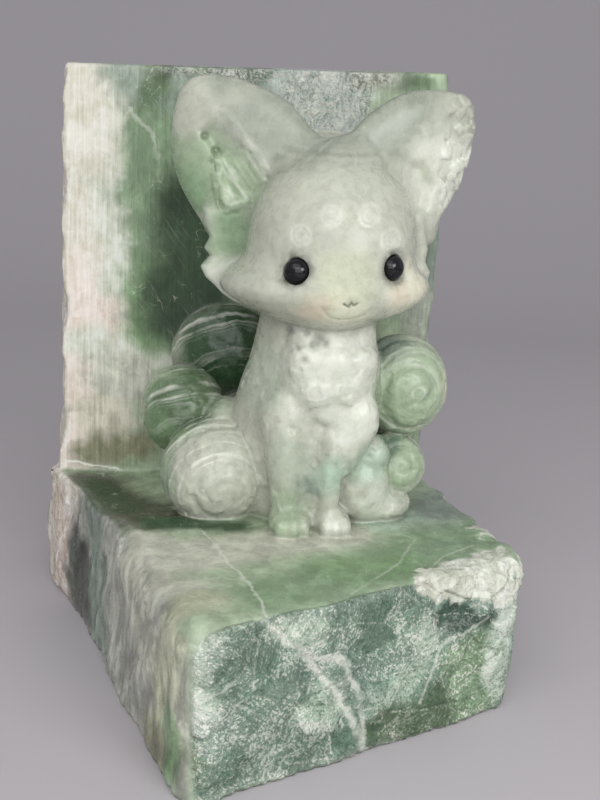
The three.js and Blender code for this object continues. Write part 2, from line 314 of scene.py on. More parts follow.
def slab_form():
    low = (-SLAB_HALF_WIDTH - 9, 0, 0)
    high = (SLAB_HALF_WIDTH + 3, SLAB_THICKNESS, SLAB_HEIGHT_RIGHT)
    taper = 2.6 / 12
    taper_from = 12

    def distances(x, y, z):
        rough = unevenness(z, y)
        left_out = left_crust(z) * mix(0.25, 1, ramp(y / SLAB_THICKNESS, 0, 0.45)) + rough
        narrowing = taper * np.maximum(y - taper_from, 0)
        left = -x - SLAB_HALF_WIDTH - left_out + narrowing
        right = x - SLAB_HALF_WIDTH - 1.1 - 0.8 * rough + narrowing
        top = mix(SLAB_HEIGHT_LEFT, SLAB_HEIGHT_RIGHT, np.clip(x / 100 + 0.5, 0, 1))
        return cut_by(-y, [
            (y - SLAB_THICKNESS, SAWN_FILLET), (left, BROKEN_FILLET), (right, BROKEN_FILLET),
            (z - top, 1.0), (-z, UNDER_FILLET),
        ])

    return low, high, distances


def base_form():
    low = (-SLAB_HALF_WIDTH - 9, BASE_FRONT_LEFT[1] - 6, 0)
    high = (BASE_FRONT_RIGHT[0] + 6, SLAB_ROOT, BASE_HEIGHT)
    lean = 0.92
    side_length = 110
    front_length = 90

    def beyond(side, x, y):
        """How far a place is outside a side, and its share of the way along it."""
        start, along, out, length = side
        outward = (x - start[0]) * out[0] + (y - start[1]) * out[1]
        share = ((x - start[0]) * along[0] + (y - start[1]) * along[1]) / length
        return outward, np.clip(share, 0, 1)

    def distances(x, y, z):
        rise = np.clip(z / BASE_HEIGHT, 0, 1)
        left, forward = beyond(LEFT_SIDE, x, y)
        crust = left_crust(z) * fall(forward, 0, 0.35)
        bulge = 2.6 * (1 - rise) * np.sin(np.pi * forward) + 0.7 * unevenness(forward * side_length, z)
        left = left - lean * (crust + bulge)
        right, backward = beyond(RIGHT_SIDE, x, y)
        forward = 1 - backward
        right = right - 1.2 - unevenness(forward * side_length + 40, z) + 1.2 * (1 - rise) * forward
        front, across = beyond(FRONT_SIDE, x, y)
        swell = 3 * (1 - rise) + 0.6 * unevenness(across * front_length, z)
        swell = swell + 2.2 * ramp(across, 0.72, 0.95) * np.sin(np.pi * ramp(rise, 0.45, 1))
        dip = FOOT_DIP * ramp(-x, 8, 38) * fall(-y, 30, 46)
        rounding = mix(1.6, 7, ramp(-left, 12, 2) * ramp(-y, 30, 60))
        return cut_by(left, [
            (front - swell, 8.0), (right, 3.0), (y - SLAB_ROOT, SAWN_FILLET),
            (z - BASE_HEIGHT + dip, rounding), (-z, UNDER_FILLET),
        ])

    return low, high, distances


# The figure

def curve_through(points, per_span=14, closed=False):
    """A smooth curve through points, as rows of places."""
    points = np.array(points, float)
    count = len(points)
    rows = []
    spans = count if closed else count - 1
    for i in range(spans):
        if closed:
            p = [points[(i + k) % count] for k in (-1, 0, 1, 2)]
        else:
            p = [points[min(max(i + k, 0), count - 1)] for k in (-1, 0, 1, 2)]
        for step in range(per_span):
            t = step / per_span
            rows.append(0.5 * (2 * p[1] + (p[2] - p[0]) * t
                               + (2 * p[0] - 5 * p[1] + 4 * p[2] - p[3]) * t * t
                               + (3 * p[1] - p[0] - 3 * p[2] + p[3]) * t**3))
    if not closed:
        rows.append(points[-1])
    return np.array(rows)


def loft(at, levels, back_share, yaw=0.0, drift=None):
    """A body lofted up an axis, from [half width, depth in front, height] levels."""
    curve = curve_through(levels)
    heights = np.maximum.accumulate(curve[:, 2]) + np.arange(len(curve)) * 1e-4
    half = np.maximum(curve[:, 0], 0)
    stretch = np.where(half > 0.5, curve[:, 1] / np.maximum(half, 0.5), np.nan)
    known = ~np.isnan(stretch)
    stretch = np.interp(heights, heights[known], stretch[known])
    wide = max(half.max(), curve[:, 1].max())
    low = (at[0] - wide, at[1] - wide, heights[0])
    high = (at[0] + wide + 24, at[1] + wide, heights[-1])

    def distances(x, y, z):
        flat = z.ravel()
        squared = np.interp(flat, heights, half**2)
        bottom = levels[1][0] ** 2 / (levels[1][2] - levels[0][2])
        top = levels[-2][0] ** 2 / (levels[-1][2] - levels[-2][2])
        squared = squared - bottom * np.maximum(heights[0] - flat, 0)
        squared = squared - top * np.maximum(flat - heights[-1], 0)
        squared = squared.reshape(z.shape)
        middle = at[0] + (drift(z) if drift else 0)
        across, forward = turned(x - middle, y - at[1], -yaw)
        ratio = np.interp(flat, heights, stretch).reshape(z.shape)
        depth = np.where(forward < 0, ratio, ratio * back_share)
        level = across**2 + (forward / depth) ** 2 - squared
        return evened(level)

    return low, high, distances


def torso_form():
    return loft(
        at=(0, -28),
        levels=[
            (0, 0, 36), (14, 12, 37), (17.5, 14, 47), (18.6, 15.5, 58), (18.2, 16, 70),
            (15.8, 15, 80), (14.3, 14, 89), (13, 12, 97), (0, 0, 98),
        ],
        back_share=0.9,
        drift=lambda z: mix(16.5, 19.6, ramp(z, 50, 80)),
    )


def head_form():
    return loft(
        at=(0, -32),
        levels=[
            (0, 0, 86.4), (8, 12.5, 87.4), (18.6, 19.4, 91.2), (24.4, 22, 94.4), (26, 22.8, 97),
            (24.8, 22.6, 99.4), (22, 22.2, 101.8), (20.8, 21.8, 104.6), (20.4, 21.2, 109),
            (19.2, 18.9, 115.5), (14.8, 14, 122.4), (7.8, 7.6, 127), (0, 0, 128.8),
        ],
        back_share=0.86,
        yaw=FOX_YAW,
        drift=lambda z: mix(20.7, 22.2, ramp(z, 96, 108)),
    )


CHEST = {"at": (22.6, -36.0, 76.5), "radii": (13.2, 11.2, 15.0)}


def ruff_forms():
    """Low, overlapping lumps of fur on the chest."""
    rows = [(85.5, 3, 6.8), (79.5, 3, 7.2), (73.5, 2, 7.4), (68.2, 1, 0)]
    sunk = 1.75
    forms = [ellipsoid(CHEST["at"], CHEST["radii"], FOX_YAW)]
    for height, count, spacing in rows:
        for i in range(count):
            across = (i - (count - 1) / 2) * spacing
            rise = height - CHEST["at"][2]
            level = 1 - (across / CHEST["radii"][0]) ** 2 - (rise / CHEST["radii"][2]) ** 2
            out = CHEST["radii"][1] * math.sqrt(max(level, 0.05)) - sunk
            dx, dy = turned(across, -out, FOX_YAW)
            at = (CHEST["at"][0] + dx, CHEST["at"][1] + dy, height)
            forms.append(ellipsoid(at, (4.2, 2.3, 4.1), FOX_YAW + across * 4))
    return forms


LEGS = [
    {
        "shoulder": {"at": (12.6, -41, 64), "radii": (6, 5.6, 7.6)},
        "shaft": {"at": (13.8, -43.8, 51), "radii": (4.2, 4.3, 14)},
        "foot": {"at": (15.2, -46.4, 39.4), "radii": (5.2, 5.4, 3.7)},
    },
    {
        "shoulder": {"at": (30, -40.4, 65), "radii": (6, 6, 7.6)},
        "shaft": {"at": (24.2, -43.4, 50), "radii": (3.1, 3.8, 13)},
        "foot": {"at": (25.8, -44.6, 39.3), "radii": (4.6, 5, 3.6)},
    },
]


def leg_forms():
    forms = []
    for leg in LEGS:
        shoulder, shaft, foot = leg["shoulder"], leg["shaft"], leg["foot"]
        elbow = tuple(mix(shoulder["at"][k], shaft["at"][k], 0.45) for k in range(3))
        forms.append(ellipsoid(shoulder["at"], shoulder["radii"], FOX_YAW))
        forms.append(ellipsoid(elbow, (4.6, 4.8, 7), FOX_YAW))
        forms.append(ellipsoid(shaft["at"], shaft["radii"], FOX_YAW))
        forms.append(ellipsoid(foot["at"], foot["radii"], FOX_YAW))
    forms.append(ellipsoid((19.6, -41.6, 50), (5, 3.6, 12), FOX_YAW))
    return forms


def toe_forms():
    forms = []
    for leg in LEGS:
        foot = leg["foot"]
        for i in range(3):
            swing = FOX_YAW + (i - 1) * 34
            dx, dy = turned(0, -foot["radii"][0] * 0.78, swing)
            at = (foot["at"][0] + dx, foot["at"][1] + dy, 39.2)
            forms.append(ellipsoid(at, (1.9, 2.3, 2.4), swing))
    return forms


def haunch_forms():
    return [
        ellipsoid((8.4, -32, 47), (7.5, 8, 10.5), FOX_YAW),
        ellipsoid((32, -34, 47), (8, 8.8, 10.5), FOX_YAW),
    ]


def bridge_forms():
    """The stone left between the back of the figure and the slab."""
    return [
        ellipsoid((19.3, -8, 111), (20, 26, 21)),
        ellipsoid((19, -8, 84), (14, 14, 16)),
    ]


BROW_DOTS = [(21.2, -46, 115.4), (30, -44.4, 115.8), (14.4, -47.1, 110.5), (35.4, -42.3, 110.3)]


def brow_dot_forms():
    return [ellipsoid(at, (3.2, 3.2, 3.2)) for at in BROW_DOTS]


def outline_distance(outline, x, z):
    """Signed distances in a plane to a closed outline, below 0 inside it."""
    points = np.array(outline, float)
    best = np.full(np.broadcast(x, z).shape, 1e9)
    inside = np.zeros(best.shape, bool)
    for i in range(len(points)):
        ax, az = points[i]
        bx, bz = points[(i + 1) % len(points)]
        ex, ez = bx - ax, bz - az
        t = np.clip(((x - ax) * ex + (z - az) * ez) / (ex * ex + ez * ez), 0, 1)
        best = np.minimum(best, (x - ax - ex * t) ** 2 + (z - az - ez * t) ** 2)
        if ez != 0:
            crosses = ((az > z) != (bz > z)) & (x < ex * (z - az) / ez + ax)
            inside ^= crosses
    return np.sqrt(best) * np.where(inside, -1, 1)


def cheek_fur_forms():
    """Thin flaps of fur behind the cheeks, with ragged outer edges."""
    left = [
        (6, 89), (8, 117), (-10, 113.6), (-9.6, 110), (-8.1, 106.8), (-9.4, 103.8),
        (-8, 102), (-10.2, 99.3), (-8.8, 96.6), (-6.6, 94.8), (-4.6, 92.8), (-1, 90.6),
    ]
    right = [
        (37, 90), (43.5, 93.6), (46, 96.6), (47, 100.4), (45.6, 103), (46, 106),
        (45, 110), (44, 115), (36, 119),
    ]
    depth = 8.0
    forms = []
    for outline, front in ((left, -30.5), (right, -29.0)):
        xs = [p[0] for p in outline]
        zs = [p[1] for p in outline]
        low = (min(xs), front, min(zs))
        high = (max(xs), front + depth, max(zs))

        def distances(x, y, z, outline=outline, front=front):
            flat = outline_distance(outline, x, z)
            thick = np.abs(y - front - depth / 2) - depth / 2
            return smooth_max(flat, thick, 2.0)

        forms.append((low, high, distances))
    return forms


RIGHT_EAR = {
    "middle": (0.6, -24, 126),
    "outline": [
        (8, 108), (19, 127), (13.5, 136), (7.7, 141), (-1.5, 144.4), (-8, 145.3),
        (-14.2, 144), (-17.4, 138.9), (-18.6, 129.3), (-16.6, 119.7), (-11, 110.4), (-6.5, 106),
    ],
    "slope": -0.1, "front": 7.0, "back": 42.0,
    "hollow": {
        "outline": [
            (-6, 138), (-12, 132), (-8.5, 127), (-7, 122), (-6, 116), (-3.5, 113.5),
            (3, 116.5), (9, 122.5), (4, 127), (-1, 133),
        ],
        "depth": 2.0, "edge": 2.4, "ridge": (-6, 137), "falls": (-0.72, -0.69), "reach": 9,
    },
}
LEFT_EAR = {
    "middle": (38.6, -23.5, 126),
    "outline": [
        (34, 108), (46.5, 106.5), (49.2, 112.7), (52.6, 120.2), (55.6, 130.2), (56, 138.8), (53.3, 143.2),
        (49, 144), (43.5, 144.2), (37.5, 143.2), (31.5, 139.6), (25.9, 134.4), (21.5, 127),
    ],
    "slope": 0.4, "front": 7.0, "back": 40.0,
    "hollow": {
        "outline": [(38, 128), (44, 128.5), (47.5, 122), (46, 116), (43.3, 112.5), (40, 115)],
        "depth": 2.4, "edge": 3.6, "ridge": (40, 129), "falls": (0.2, -0.98), "reach": 4,
    },
}


# The tuft of fur left standing inside the right ear, and the way its strokes run
EAR_FUR = [
    (-7, 125.3), (-6.2, 123.4), (-6.9, 121.5), (-6.1, 119.2), (-5, 115.4), (-3.2, 114), (-0.6, 115.3),
    (1.4, 115.9), (2.7, 118.4), (5.8, 120.9), (4.1, 125.9), (-1.3, 129), (-4.9, 127.3),
]
FUR_RUNS = (0.6, -0.8)
EAR_FOLD = [(-5.7, 136.4), (-2.7, 133.5), (0, 130), (2.9, 127.2), (5.4, 123.3)]
EAR_HOLES = [(-10, 130.8), (-7.3, 127.6)]


def ear_form(ear):
    """A broad ear, hollow on its face, whose back narrows until it meets the slab."""
    mx, my, mz = ear["middle"]
    rim = curve_through(ear["outline"], closed=True)
    angle = np.arctan2(rim[:, 1] - mz, rim[:, 0] - mx)
    radius = np.hypot(rim[:, 0] - mx, rim[:, 1] - mz)
    order = np.argsort(angle)
    low = (rim[:, 0].min(), my - ear["front"] - 8, rim[:, 1].min())
    high = (rim[:, 0].max(), my + ear["back"] * 0.9, rim[:, 1].max())

    def distances(x, y, z):
        px, pz = x - mx, z - mz
        reach = np.interp(np.arctan2(pz, px).ravel(), angle[order], radius[order], period=2 * np.pi)
        reach = reach.reshape(np.broadcast(px, pz).shape)
        share = np.hypot(px, pz) / reach
        dish = ear_dish(ear, px, pz)
        out = y - my - ear["slope"] * px
        ahead = np.maximum(dish - out, 0) / ear["front"]
        front = np.cbrt(share**2.5 + ahead**4) - 1
        behind = np.clip(1 - np.maximum(out, 0) / ear["back"], 0, 1)
        back = share - behind**1.15
        return evened(np.maximum(front, back))

    return low, high, distances


def ear_dish(ear, px, pz):
    """How deep the hollow of an ear is, at a place on its face."""
    hollow = ear["hollow"]
    x, z = px + ear["middle"][0], pz + ear["middle"][2]
    inside = -outline_distance(hollow["outline"], x, z)
    ridge_x, ridge_z = hollow["ridge"]
    fall_x, fall_z = hollow["falls"]
    away = (x - ridge_x) * fall_x + (z - ridge_z) * fall_z
    return hollow["depth"] * ramp(inside, -0.3, hollow["edge"]) * ramp(away, -1, hollow["reach"])


CURLED_TAILS = [
    {
        "at": (-4.6, -32, 47.2), "radii": (13.9, 13.9, 13.9),
        "facing": (0.25, -0.93, -0.27), "pitch": 44, "hand": 1, "groove": 0.03,
    },
    {
        "at": (-14.6, -18.5, 59.4), "radii": (11.2, 12, 12),
        "facing": (0.3, -0.6, -1.0), "pitch": 60, "hand": 1, "groove": 0.05, "ring_pace": 0.6,
    },
    {
        "at": (42, -22, 70.2), "radii": (12.4, 12.4, 13),
        "facing": (0.31, -0.95, 0.04), "pitch": 44, "hand": -1, "groove": 0.055,
    },
    {
        "at": (41, -25.5, 49.2), "radii": (8.9, 9.6, 9),
        "facing": (0.27, -0.94, 0.22), "pitch": 60, "hand": -1, "groove": 0.05,
    },
    {
        "at": (34.4, -35.5, 55.2), "radii": (5.4, 5.2, 5.4),
        "facing": (0.06, -0.96, 0.29), "pitch": 70, "hand": -1, "groove": 0.08,
    },
]
RINGED_TAIL = {"at": (-5, -1, 70), "radii": (15, 6, 15), "facing": (0.3, -0.7, -1.1), "ring_pace": 0.4}
PLAIN_TAILS = [
    RINGED_TAIL,
    {"at": (-3, -25, 56.5), "radii": (7, 8, 8.8)},
    {"at": (-11, -9, 46.5), "radii": (10, 10.5, 10.5)},
    {"at": (37, -31.5, 41), "radii": (8.8, 7, 4.8)},
    {"at": (30, -8, 58), "radii": (13, 10, 13)},
]


def spiral_frame(facing):
    """The turn that brings a tail's facing direction upright, as the part's source does it."""
    pole = Vector(facing).normalized()
    return np.array(Vector((0, 1, 0)).rotation_difference(pole).to_matrix())


def spiral_angles(tail, px, py, pz):
    """The angle from a curled tail's pole and the angle around it."""
    turn = spiral_frame(tail["facing"])
    ux, uy, uz = (p / radius for p, radius in zip((px, py, pz), tail["radii"]))
    length = np.maximum(np.sqrt(ux**2 + uy**2 + uz**2), 1e-6)
    local = [(turn[0][k] * ux + turn[1][k] * uy + turn[2][k] * uz) / length for k in range(3)]
    polar = np.arccos(np.clip(local[1], -1, 1))
    around = np.arctan2(local[2], local[0])
    return polar, around


def curled_tail_form(tail):
    def relief(px, py, pz):
        polar, around = spiral_angles(tail, px, py, pz)
        pitch = math.radians(tail["pitch"])
        phase = polar / pitch - tail["hand"] * around / (2 * np.pi)
        groove = np.maximum(0, np.cos(2 * np.pi * phase)) ** 2
        reach = math.radians(125)
        fade = ramp(polar, 0, pitch * 0.4) * fall(polar, reach * 0.8, reach)
        return tail["groove"] * tail["radii"][0] * groove * fade

    return ellipsoid(tail["at"], tail["radii"], relief=relief)


def curled_tail_forms():
    return [curled_tail_form(tail) for tail in CURLED_TAILS]


def plain_tail_forms():
    return [ellipsoid(tail["at"], tail["radii"]) for tail in PLAIN_TAILS]


def socket_form(eye):
    """The drilled socket that a bead sits in, snug around the bead."""
    at = np.array(eye["at"])
    looks = np.array(eye["looks"]) / np.linalg.norm(eye["looks"])
    radius = BEAD_RADIUS + 0.06
    low = at - 8
    high = at + 8

    def distances(x, y, z):
        px, py, pz = x - at[0], y - at[1], z - at[2]
        along = px * looks[0] + py * looks[1] + pz * looks[2]
        along = np.clip(along, 0, 8)
        return np.sqrt((px - along * looks[0]) ** 2 + (py - along * looks[1]) ** 2
                       + (pz - along * looks[2]) ** 2) - radius

    return tuple(low), tuple(high), distances


# The hollow between the ears: its middle and the height from which its fillets widen
SADDLE_MIDDLE = 19.5
SADDLE_FROM = 114


def saddle_blend(x, y, z):
    """Wide fillets high up between the ears, crown and slab, and narrow ones elsewhere."""
    between = fall(np.abs(x - SADDLE_MIDDLE), 9, 17) * ramp(z, SADDLE_FROM, 128)
    return mix(1.2, 6.5, between)


CRUST_LUMPS = [
    ((67.5, -52, 32), (5.0, 8.0, 5.8)),
    ((63, -41, 33.5), (5.0, 8, 4.0)),
    ((60, -59.5, 32.5), (8, 5.0, 4.4)),
]
CRUST_PATH = [(49, -71, 37.2), (57, -65.5, 35.6), (65.5, -58, 33.5), (69.5, -50, 31), (66, -40, 34)]


def build_fields():
    """The distances to the block, to the figure, and to the whole stone."""
    block = np.full(GRID_SHAPE, FAR, np.float32)
    join(block, slab_form(), 0)
    join(block, base_form(), 0.8)
    for at, radii in CRUST_LUMPS:
        join(block, ellipsoid(at, radii), 2.0)
    fox = np.full(GRID_SHAPE, FAR, np.float32)
    groups = [
        ([torso_form()], 0),
        (haunch_forms(), 1.2),
        (bridge_forms(), 2.0),
        (plain_tail_forms(), 2.2),
        (curled_tail_forms(), 0.9),
        (leg_forms(), 2.6),
        (toe_forms(), 0.7),
        (ruff_forms(), 1.3),
        ([ear_form(RIGHT_EAR), ear_form(LEFT_EAR)], saddle_blend),
        (cheek_fur_forms(), 1.2),
        ([head_form()], saddle_blend),
        (brow_dot_forms(), 0.6),
    ]
    for forms, blend in groups:
        for form in forms:
            join(fox, form, blend)
    whole = smooth_min(block, fox, 1.2)
    high = int((SADDLE_FROM - GRID_LOW[2]) / STEP)
    x, y, z = AXES[0][:, None, None], AXES[1][None, :, None], AXES[2][None, None, high:]
    whole[:, :, high:] = smooth_min(block[:, :, high:], fox[:, :, high:], saddle_blend(x, y, z))
    for eye in EYES.values():
        low, high, distances = socket_form(eye)
        parts, (x, y, z) = window(low, high)
        whole[parts] = smooth_max(whole[parts], -distances(x, y, z).astype(np.float32), 0.25)
    return block, fox, whole


# From the field to a mesh

def sampled(field, points):
    """The field's value at places between the grid's points."""
    places = (points - GRID_LOW) / STEP
    places = np.clip(places, 0, np.array(GRID_SHAPE) - 1.001)
    cell = places.astype(np.int64)
    flat = field.ravel()
    stride = (GRID_SHAPE[1] * GRID_SHAPE[2], GRID_SHAPE[2], 1)
    start = cell[:, 0] * stride[0] + cell[:, 1] * stride[1] + cell[:, 2]
    total = np.zeros(len(points))
    for (dx, dy, dz), share in corner_shares(places - cell):
        total += share * flat[start + dx * stride[0] + dy * stride[1] + dz]
    return total


def slope_at(field, points, reach=0.5):
    """The direction in which the field grows, at places."""
    slope = np.empty_like(points)
    for k in range(3):
        shift = np.zeros(3)
        shift[k] = reach * STEP
        slope[:, k] = sampled(field, points + shift) - sampled(field, points - shift)
    return slope / (2 * reach * STEP)


def way_out(field, points, reach):
    """The direction in which the field grows, 1 long."""
    slope = slope_at(field, points, reach)
    return slope / np.maximum(np.linalg.norm(slope, axis=1), 1e-6)[:, None]


def cells_crossed(inside):
    """The grid's cells that have corners both inside and outside."""
    size = [count - 1 for count in inside.shape]
    some = np.zeros(size, bool)
    every = np.ones(size, bool)
    for dx, dy, dz in CORNERS:
        corner = inside[dx:size[0] + dx, dy:size[1] + dy, dz:size[2] + dz]
        some |= corner
        every &= corner
    return np.argwhere(some & ~every)


def points_in(field, cells):
    """A point for each cell, in the middle of where the cell's edges meet the surface."""
    corner = {(dx, dy, dz): field[cells[:, 0] + dx, cells[:, 1] + dy, cells[:, 2] + dz]
              for dx, dy, dz in CORNERS}
    total = np.zeros((len(cells), 3))
    count = np.zeros(len(cells))
    for a in CORNERS:
        for k in range(3):
            if a[k] == 1:
                continue
            b = tuple(a[j] + (1 if j == k else 0) for j in range(3))
            crossing = (corner[a] < 0) != (corner[b] < 0)
            t = corner[a] / np.where(crossing, corner[a] - corner[b], 1)
            for j in range(3):
                total[:, j] += np.where(crossing, a[j] + (t if j == k else 0), 0)
            count += crossing
    return GRID_LOW + (cells + total / count[:, None]) * STEP


def faces_between(inside, cells):
    """A four-sided face round each grid line that meets the surface."""
    number = np.full([count - 1 for count in inside.shape], -1, np.int32)
    number[tuple(cells.T)] = np.arange(len(cells))
    faces = []
    for k in range(3):
        u, v = (k + 1) % 3, (k + 2) % 3
        first = [slice(1, -1)] * 3
        second = [slice(1, -1)] * 3
        first[k] = slice(0, -1)
        second[k] = slice(1, None)
        a, b = inside[tuple(first)], inside[tuple(second)]
        places = np.argwhere(a != b)
        rising = a[tuple(places.T)]
        spot = places + np.array([0 if j == k else 1 for j in range(3)])
        ring = []
        for du, dv in ((-1, -1), (0, -1), (0, 0), (-1, 0)):
            cell = spot.copy()
            cell[:, u] += du
            cell[:, v] += dv
            ring.append(number[tuple(cell.T)])
        ring = np.stack(ring, 1)
        faces.append(np.where(rising[:, None], ring, ring[:, ::-1]))
    return np.concatenate(faces)


def skin_of(field):
    """A mesh of four-sided faces where the field is 0: its points, faces and grid cells."""
    inside = field < 0
    cells = cells_crossed(inside)
    return points_in(field, cells), faces_between(inside, cells), cells


def merged(points, faces, cells, coarse):
    """Merges neighbouring points where coarse is above 1, by that many cells each way."""
    size = np.maximum(coarse, 1).astype(np.int64)
    key = cells // size[:, None]
    code = ((key[:, 0] * 4096 + key[:, 1]) * 4096 + key[:, 2]) * 8 + size
    _, index = np.unique(code, return_inverse=True)
    count = np.bincount(index).astype(float)
    places = np.stack([np.bincount(index, points[:, k]) / count for k in range(3)], 1)
    return places, index[faces]


def clean_faces(faces):
    """The faces as loops of 3 or 4 different points."""
    same = faces == np.roll(faces, -1, axis=1)
    spare = same.sum(1)
    crossed = (faces[:, 0] == faces[:, 2]) | (faces[:, 1] == faces[:, 3])
    quads = faces[(spare == 0) & ~crossed]
    loose = faces[(spare == 1) & ~crossed]
    keep = ~(loose == np.roll(loose, -1, axis=1))
    triangles = loose[keep].reshape(-1, 3)
    return quads, triangles


def mesh_from(name, points, quads, triangles):
    """A mesh, in metres in the shared frame."""
    mesh = bpy.data.meshes.new(name)
    mesh.vertices.add(len(points))
    mesh.vertices.foreach_set("co", ((points + OFFSET) / METRE).astype(np.float32).ravel())
    corners = np.concatenate([quads.ravel(), triangles.ravel()]).astype(np.int32)
    sizes = np.concatenate([np.full(len(quads), 4), np.full(len(triangles), 3)])
    starts = np.concatenate([[0], np.cumsum(sizes)[:-1]]).astype(np.int32)
    mesh.loops.add(len(corners))
    mesh.loops.foreach_set("vertex_index", corners)
    mesh.polygons.add(len(sizes))
    mesh.polygons.foreach_set("loop_start", starts)
    mesh.update(calc_edges=True)
    mesh.validate()
    return mesh


def mesh_points(mesh):
    """A mesh's points, in millimetres in the block's frame."""
    flat = np.empty(len(mesh.vertices) * 3, np.float32)
    mesh.vertices.foreach_get("co", flat)
    return flat.reshape(-1, 3).astype(float) * METRE - OFFSET


def add_value(mesh, name, values):
    """Stores one number a point, for the materials."""
    layer = mesh.attributes.new(name, "FLOAT", "POINT")
    layer.data.foreach_set("value", np.asarray(values, np.float32))


# Where each kind of surface is

def along_side(side, points):
    start, along = side[:2]
    return (points[:, :2] - start) @ along


def off_side(side, points):
    start, out = side[0], side[2]
    return (points[:, :2] - start) @ out


def faces_side(side, slope, low=0.6, high=0.85):
    return ramp(slope[:, :2] @ side[2], low, high)


def from_path(points, path):
    """How far each point is from a path of places."""
    nearest = np.full(len(points), 1e9)
    for a, b in zip(np.array(path[:-1]), np.array(path[1:])):
        span = b - a
        t = np.clip((points - a) @ span / (span @ span), 0, 1)
        nearest = np.minimum(nearest, np.linalg.norm(points - a - t[:, None] * span, axis=1))
    return nearest


def across_and_up(points):
    return points[:, [0, 2]]


def from_spot(points, spot):
    """How far each point is from a place given across and up, as seen from the front."""
    return np.linalg.norm(across_and_up(points) - np.array(spot), axis=1)


def surface_kinds(points, block, fox):
    """How far each point belongs to the carving, to each face of the block, and to its crust."""
    slope = way_out(block, points, 2.0)
    x, y, z = points.T
    jag = layered_noise(points, 7, 31, 3)
    carved = ramp(sampled(block, points) - sampled(fox, points), -0.7, 0.7)
    bare = 1 - carved
    ahead = ramp(-y, 25, 35) * bare
    front = faces_side(FRONT_SIDE, slope) * ahead
    front *= ramp(along_side(FRONT_SIDE, points) + 2.4 * jag, 1.5, 3.5)
    left = faces_side(LEFT_SIDE, slope, 0.5, 0.8) * bare * ramp(-y, -6, 2)
    top = ramp(slope[:, 2], 0.55, 0.85) * bare * fall(z, 60, 70)
    right = faces_side(RIGHT_SIDE, slope) * bare * ramp(-y, -6, 2)
    crust = ramp(-slope[:, 0], 0.3, 0.6) * ramp(y + 3 * jag, -18, -12)
    fray = layered_noise(squeezed(points, 0.5), 2.4, 33, 3)
    corner = fall(from_path(points, CRUST_PATH) + 3.2 * jag + 1.8 * fray, 5.2, 6.0)
    slab_right = ramp(slope[:, 0], 0.5, 0.8) * ramp(y, 1.5, 4)
    crust = np.clip(crust + corner + slab_right, 0, 1) * bare
    frost_ring = fall(np.hypot(x - 19.3, z - 143) + 1.6 * jag, 10.4, 12.4)
    frost_strip = ramp(z + 1.6 * jag, 143.8, 146) * ramp(x, -27, -22) * fall(x, 32, 40)
    slab_front = ramp(-slope[:, 1], 0.6, 0.9) * bare * ramp(y, -4, -1)
    slab_back = ramp(slope[:, 1], 0.6, 0.9) * ramp(y, SLAB_THICKNESS - 4, SLAB_THICKNESS - 1)
    frost = np.maximum(front, np.maximum(frost_ring, frost_strip) * slab_front) * (1 - crust)
    return {
        "carved": carved, "front": front, "left": left, "top": top, "right": right, "crust": crust,
        "frost": frost, "slab": slab_front, "sawn": slab_front + slab_back,
    }


# Relief that the mesh carries

CHEST_PITS = [
    ((19.8, 85.4), 1.5, 0.8), ((16.9, 86.9), 1.0, 0.6), ((13.0, 86.7), 1.0, 0.6),
    ((15.2, 83.2), 0.6, 0.5), ((18.4, 84.2), 0.8, 0.7), ((21.6, 84.8), 0.9, 0.6), ((16.6, 80.6), 1.1, 0.6),
]
MOUTH = [
    (20.2, -54, 94.7), (21.2, -53.2, 93.2), (22.2, -52.4, 92.2), (23.9, -51.7, 91.7),
    (25.7, -51.3, 91.7), (28.2, -51, 92.2), (30.3, -50.8, 93), (31.5, -51.3, 94.8),
]
NOSE_MARK = [(25.1, 95.9), (26.2, 95.2), (26.9, 96.2), (27.5, 95.5), (28.3, 96.1)]

# How far forward the nose, the brow, the chest and the ears lie, and where the right ear ends
NOSE_Y = -45
BROW_Y = -38
CHEST_Y = -36
EAR_Y = -18
RIGHT_EAR_X = 19


def crust_relief(points):
    """Lumps and broken facets on the natural outside of the stone."""
    upright = squeezed(points, 0.6)
    facets, _ = broken_facets(upright, 4.5, 51, 0.6)
    fine, _ = broken_facets(upright, 1.8, 57, 0.7)
    grains = layered_noise(points, 1.5, 63, 2)
    return 0.16 * facets + 0.12 * fine + 0.16 * grains + 0.7 * layered_noise(upright, 9, 61, 5, 0.68)


def frost_relief(points):
    """The fine grain of the frosted patch on the slab."""
    fine, _ = broken_facets(points, 2.1, 77, 0.45)
    return 0.12 * fine + 0.1 * layered_noise(points, 1.6, 79, 2)


def front_relief(points):
    """Facets, steps and ridges where the front of the base split along its grain."""
    along, up = along_side(FRONT_SIDE, points), points[:, 2]
    slanted = np.stack([0.9 * along + 0.44 * up, 0.9 * up - 0.44 * along, 0 * up], 1)
    facets, seam = broken_facets(slanted * np.array([0.6, 1, 1]), 7.5, 71, 0.55)
    other = np.stack([0.5 * along - 0.86 * up, 0.5 * up + 0.86 * along, 0 * up], 1)
    steps, _ = broken_facets(other * np.array([0.5, 1, 1]), 2.6, 75, 0.5)
    ridges = 0.2 * fall(seam, 0, 0.08)
    return 0.55 * facets + 0.2 * steps - ridges + 0.08 * layered_noise(points, 1.6, 79, 2)


def side_relief(points):
    """Upright shallow ribs on the base's broken sides."""
    ribs = layered_noise(squeezed(points, 0.16), 3.4, 83, 3)
    facets, _ = broken_facets(squeezed(points, 0.35), 5.0, 87, 0.4)
    return 0.35 * ribs + 0.3 * facets + 0.3 * layered_noise(points, 11, 89, 2)


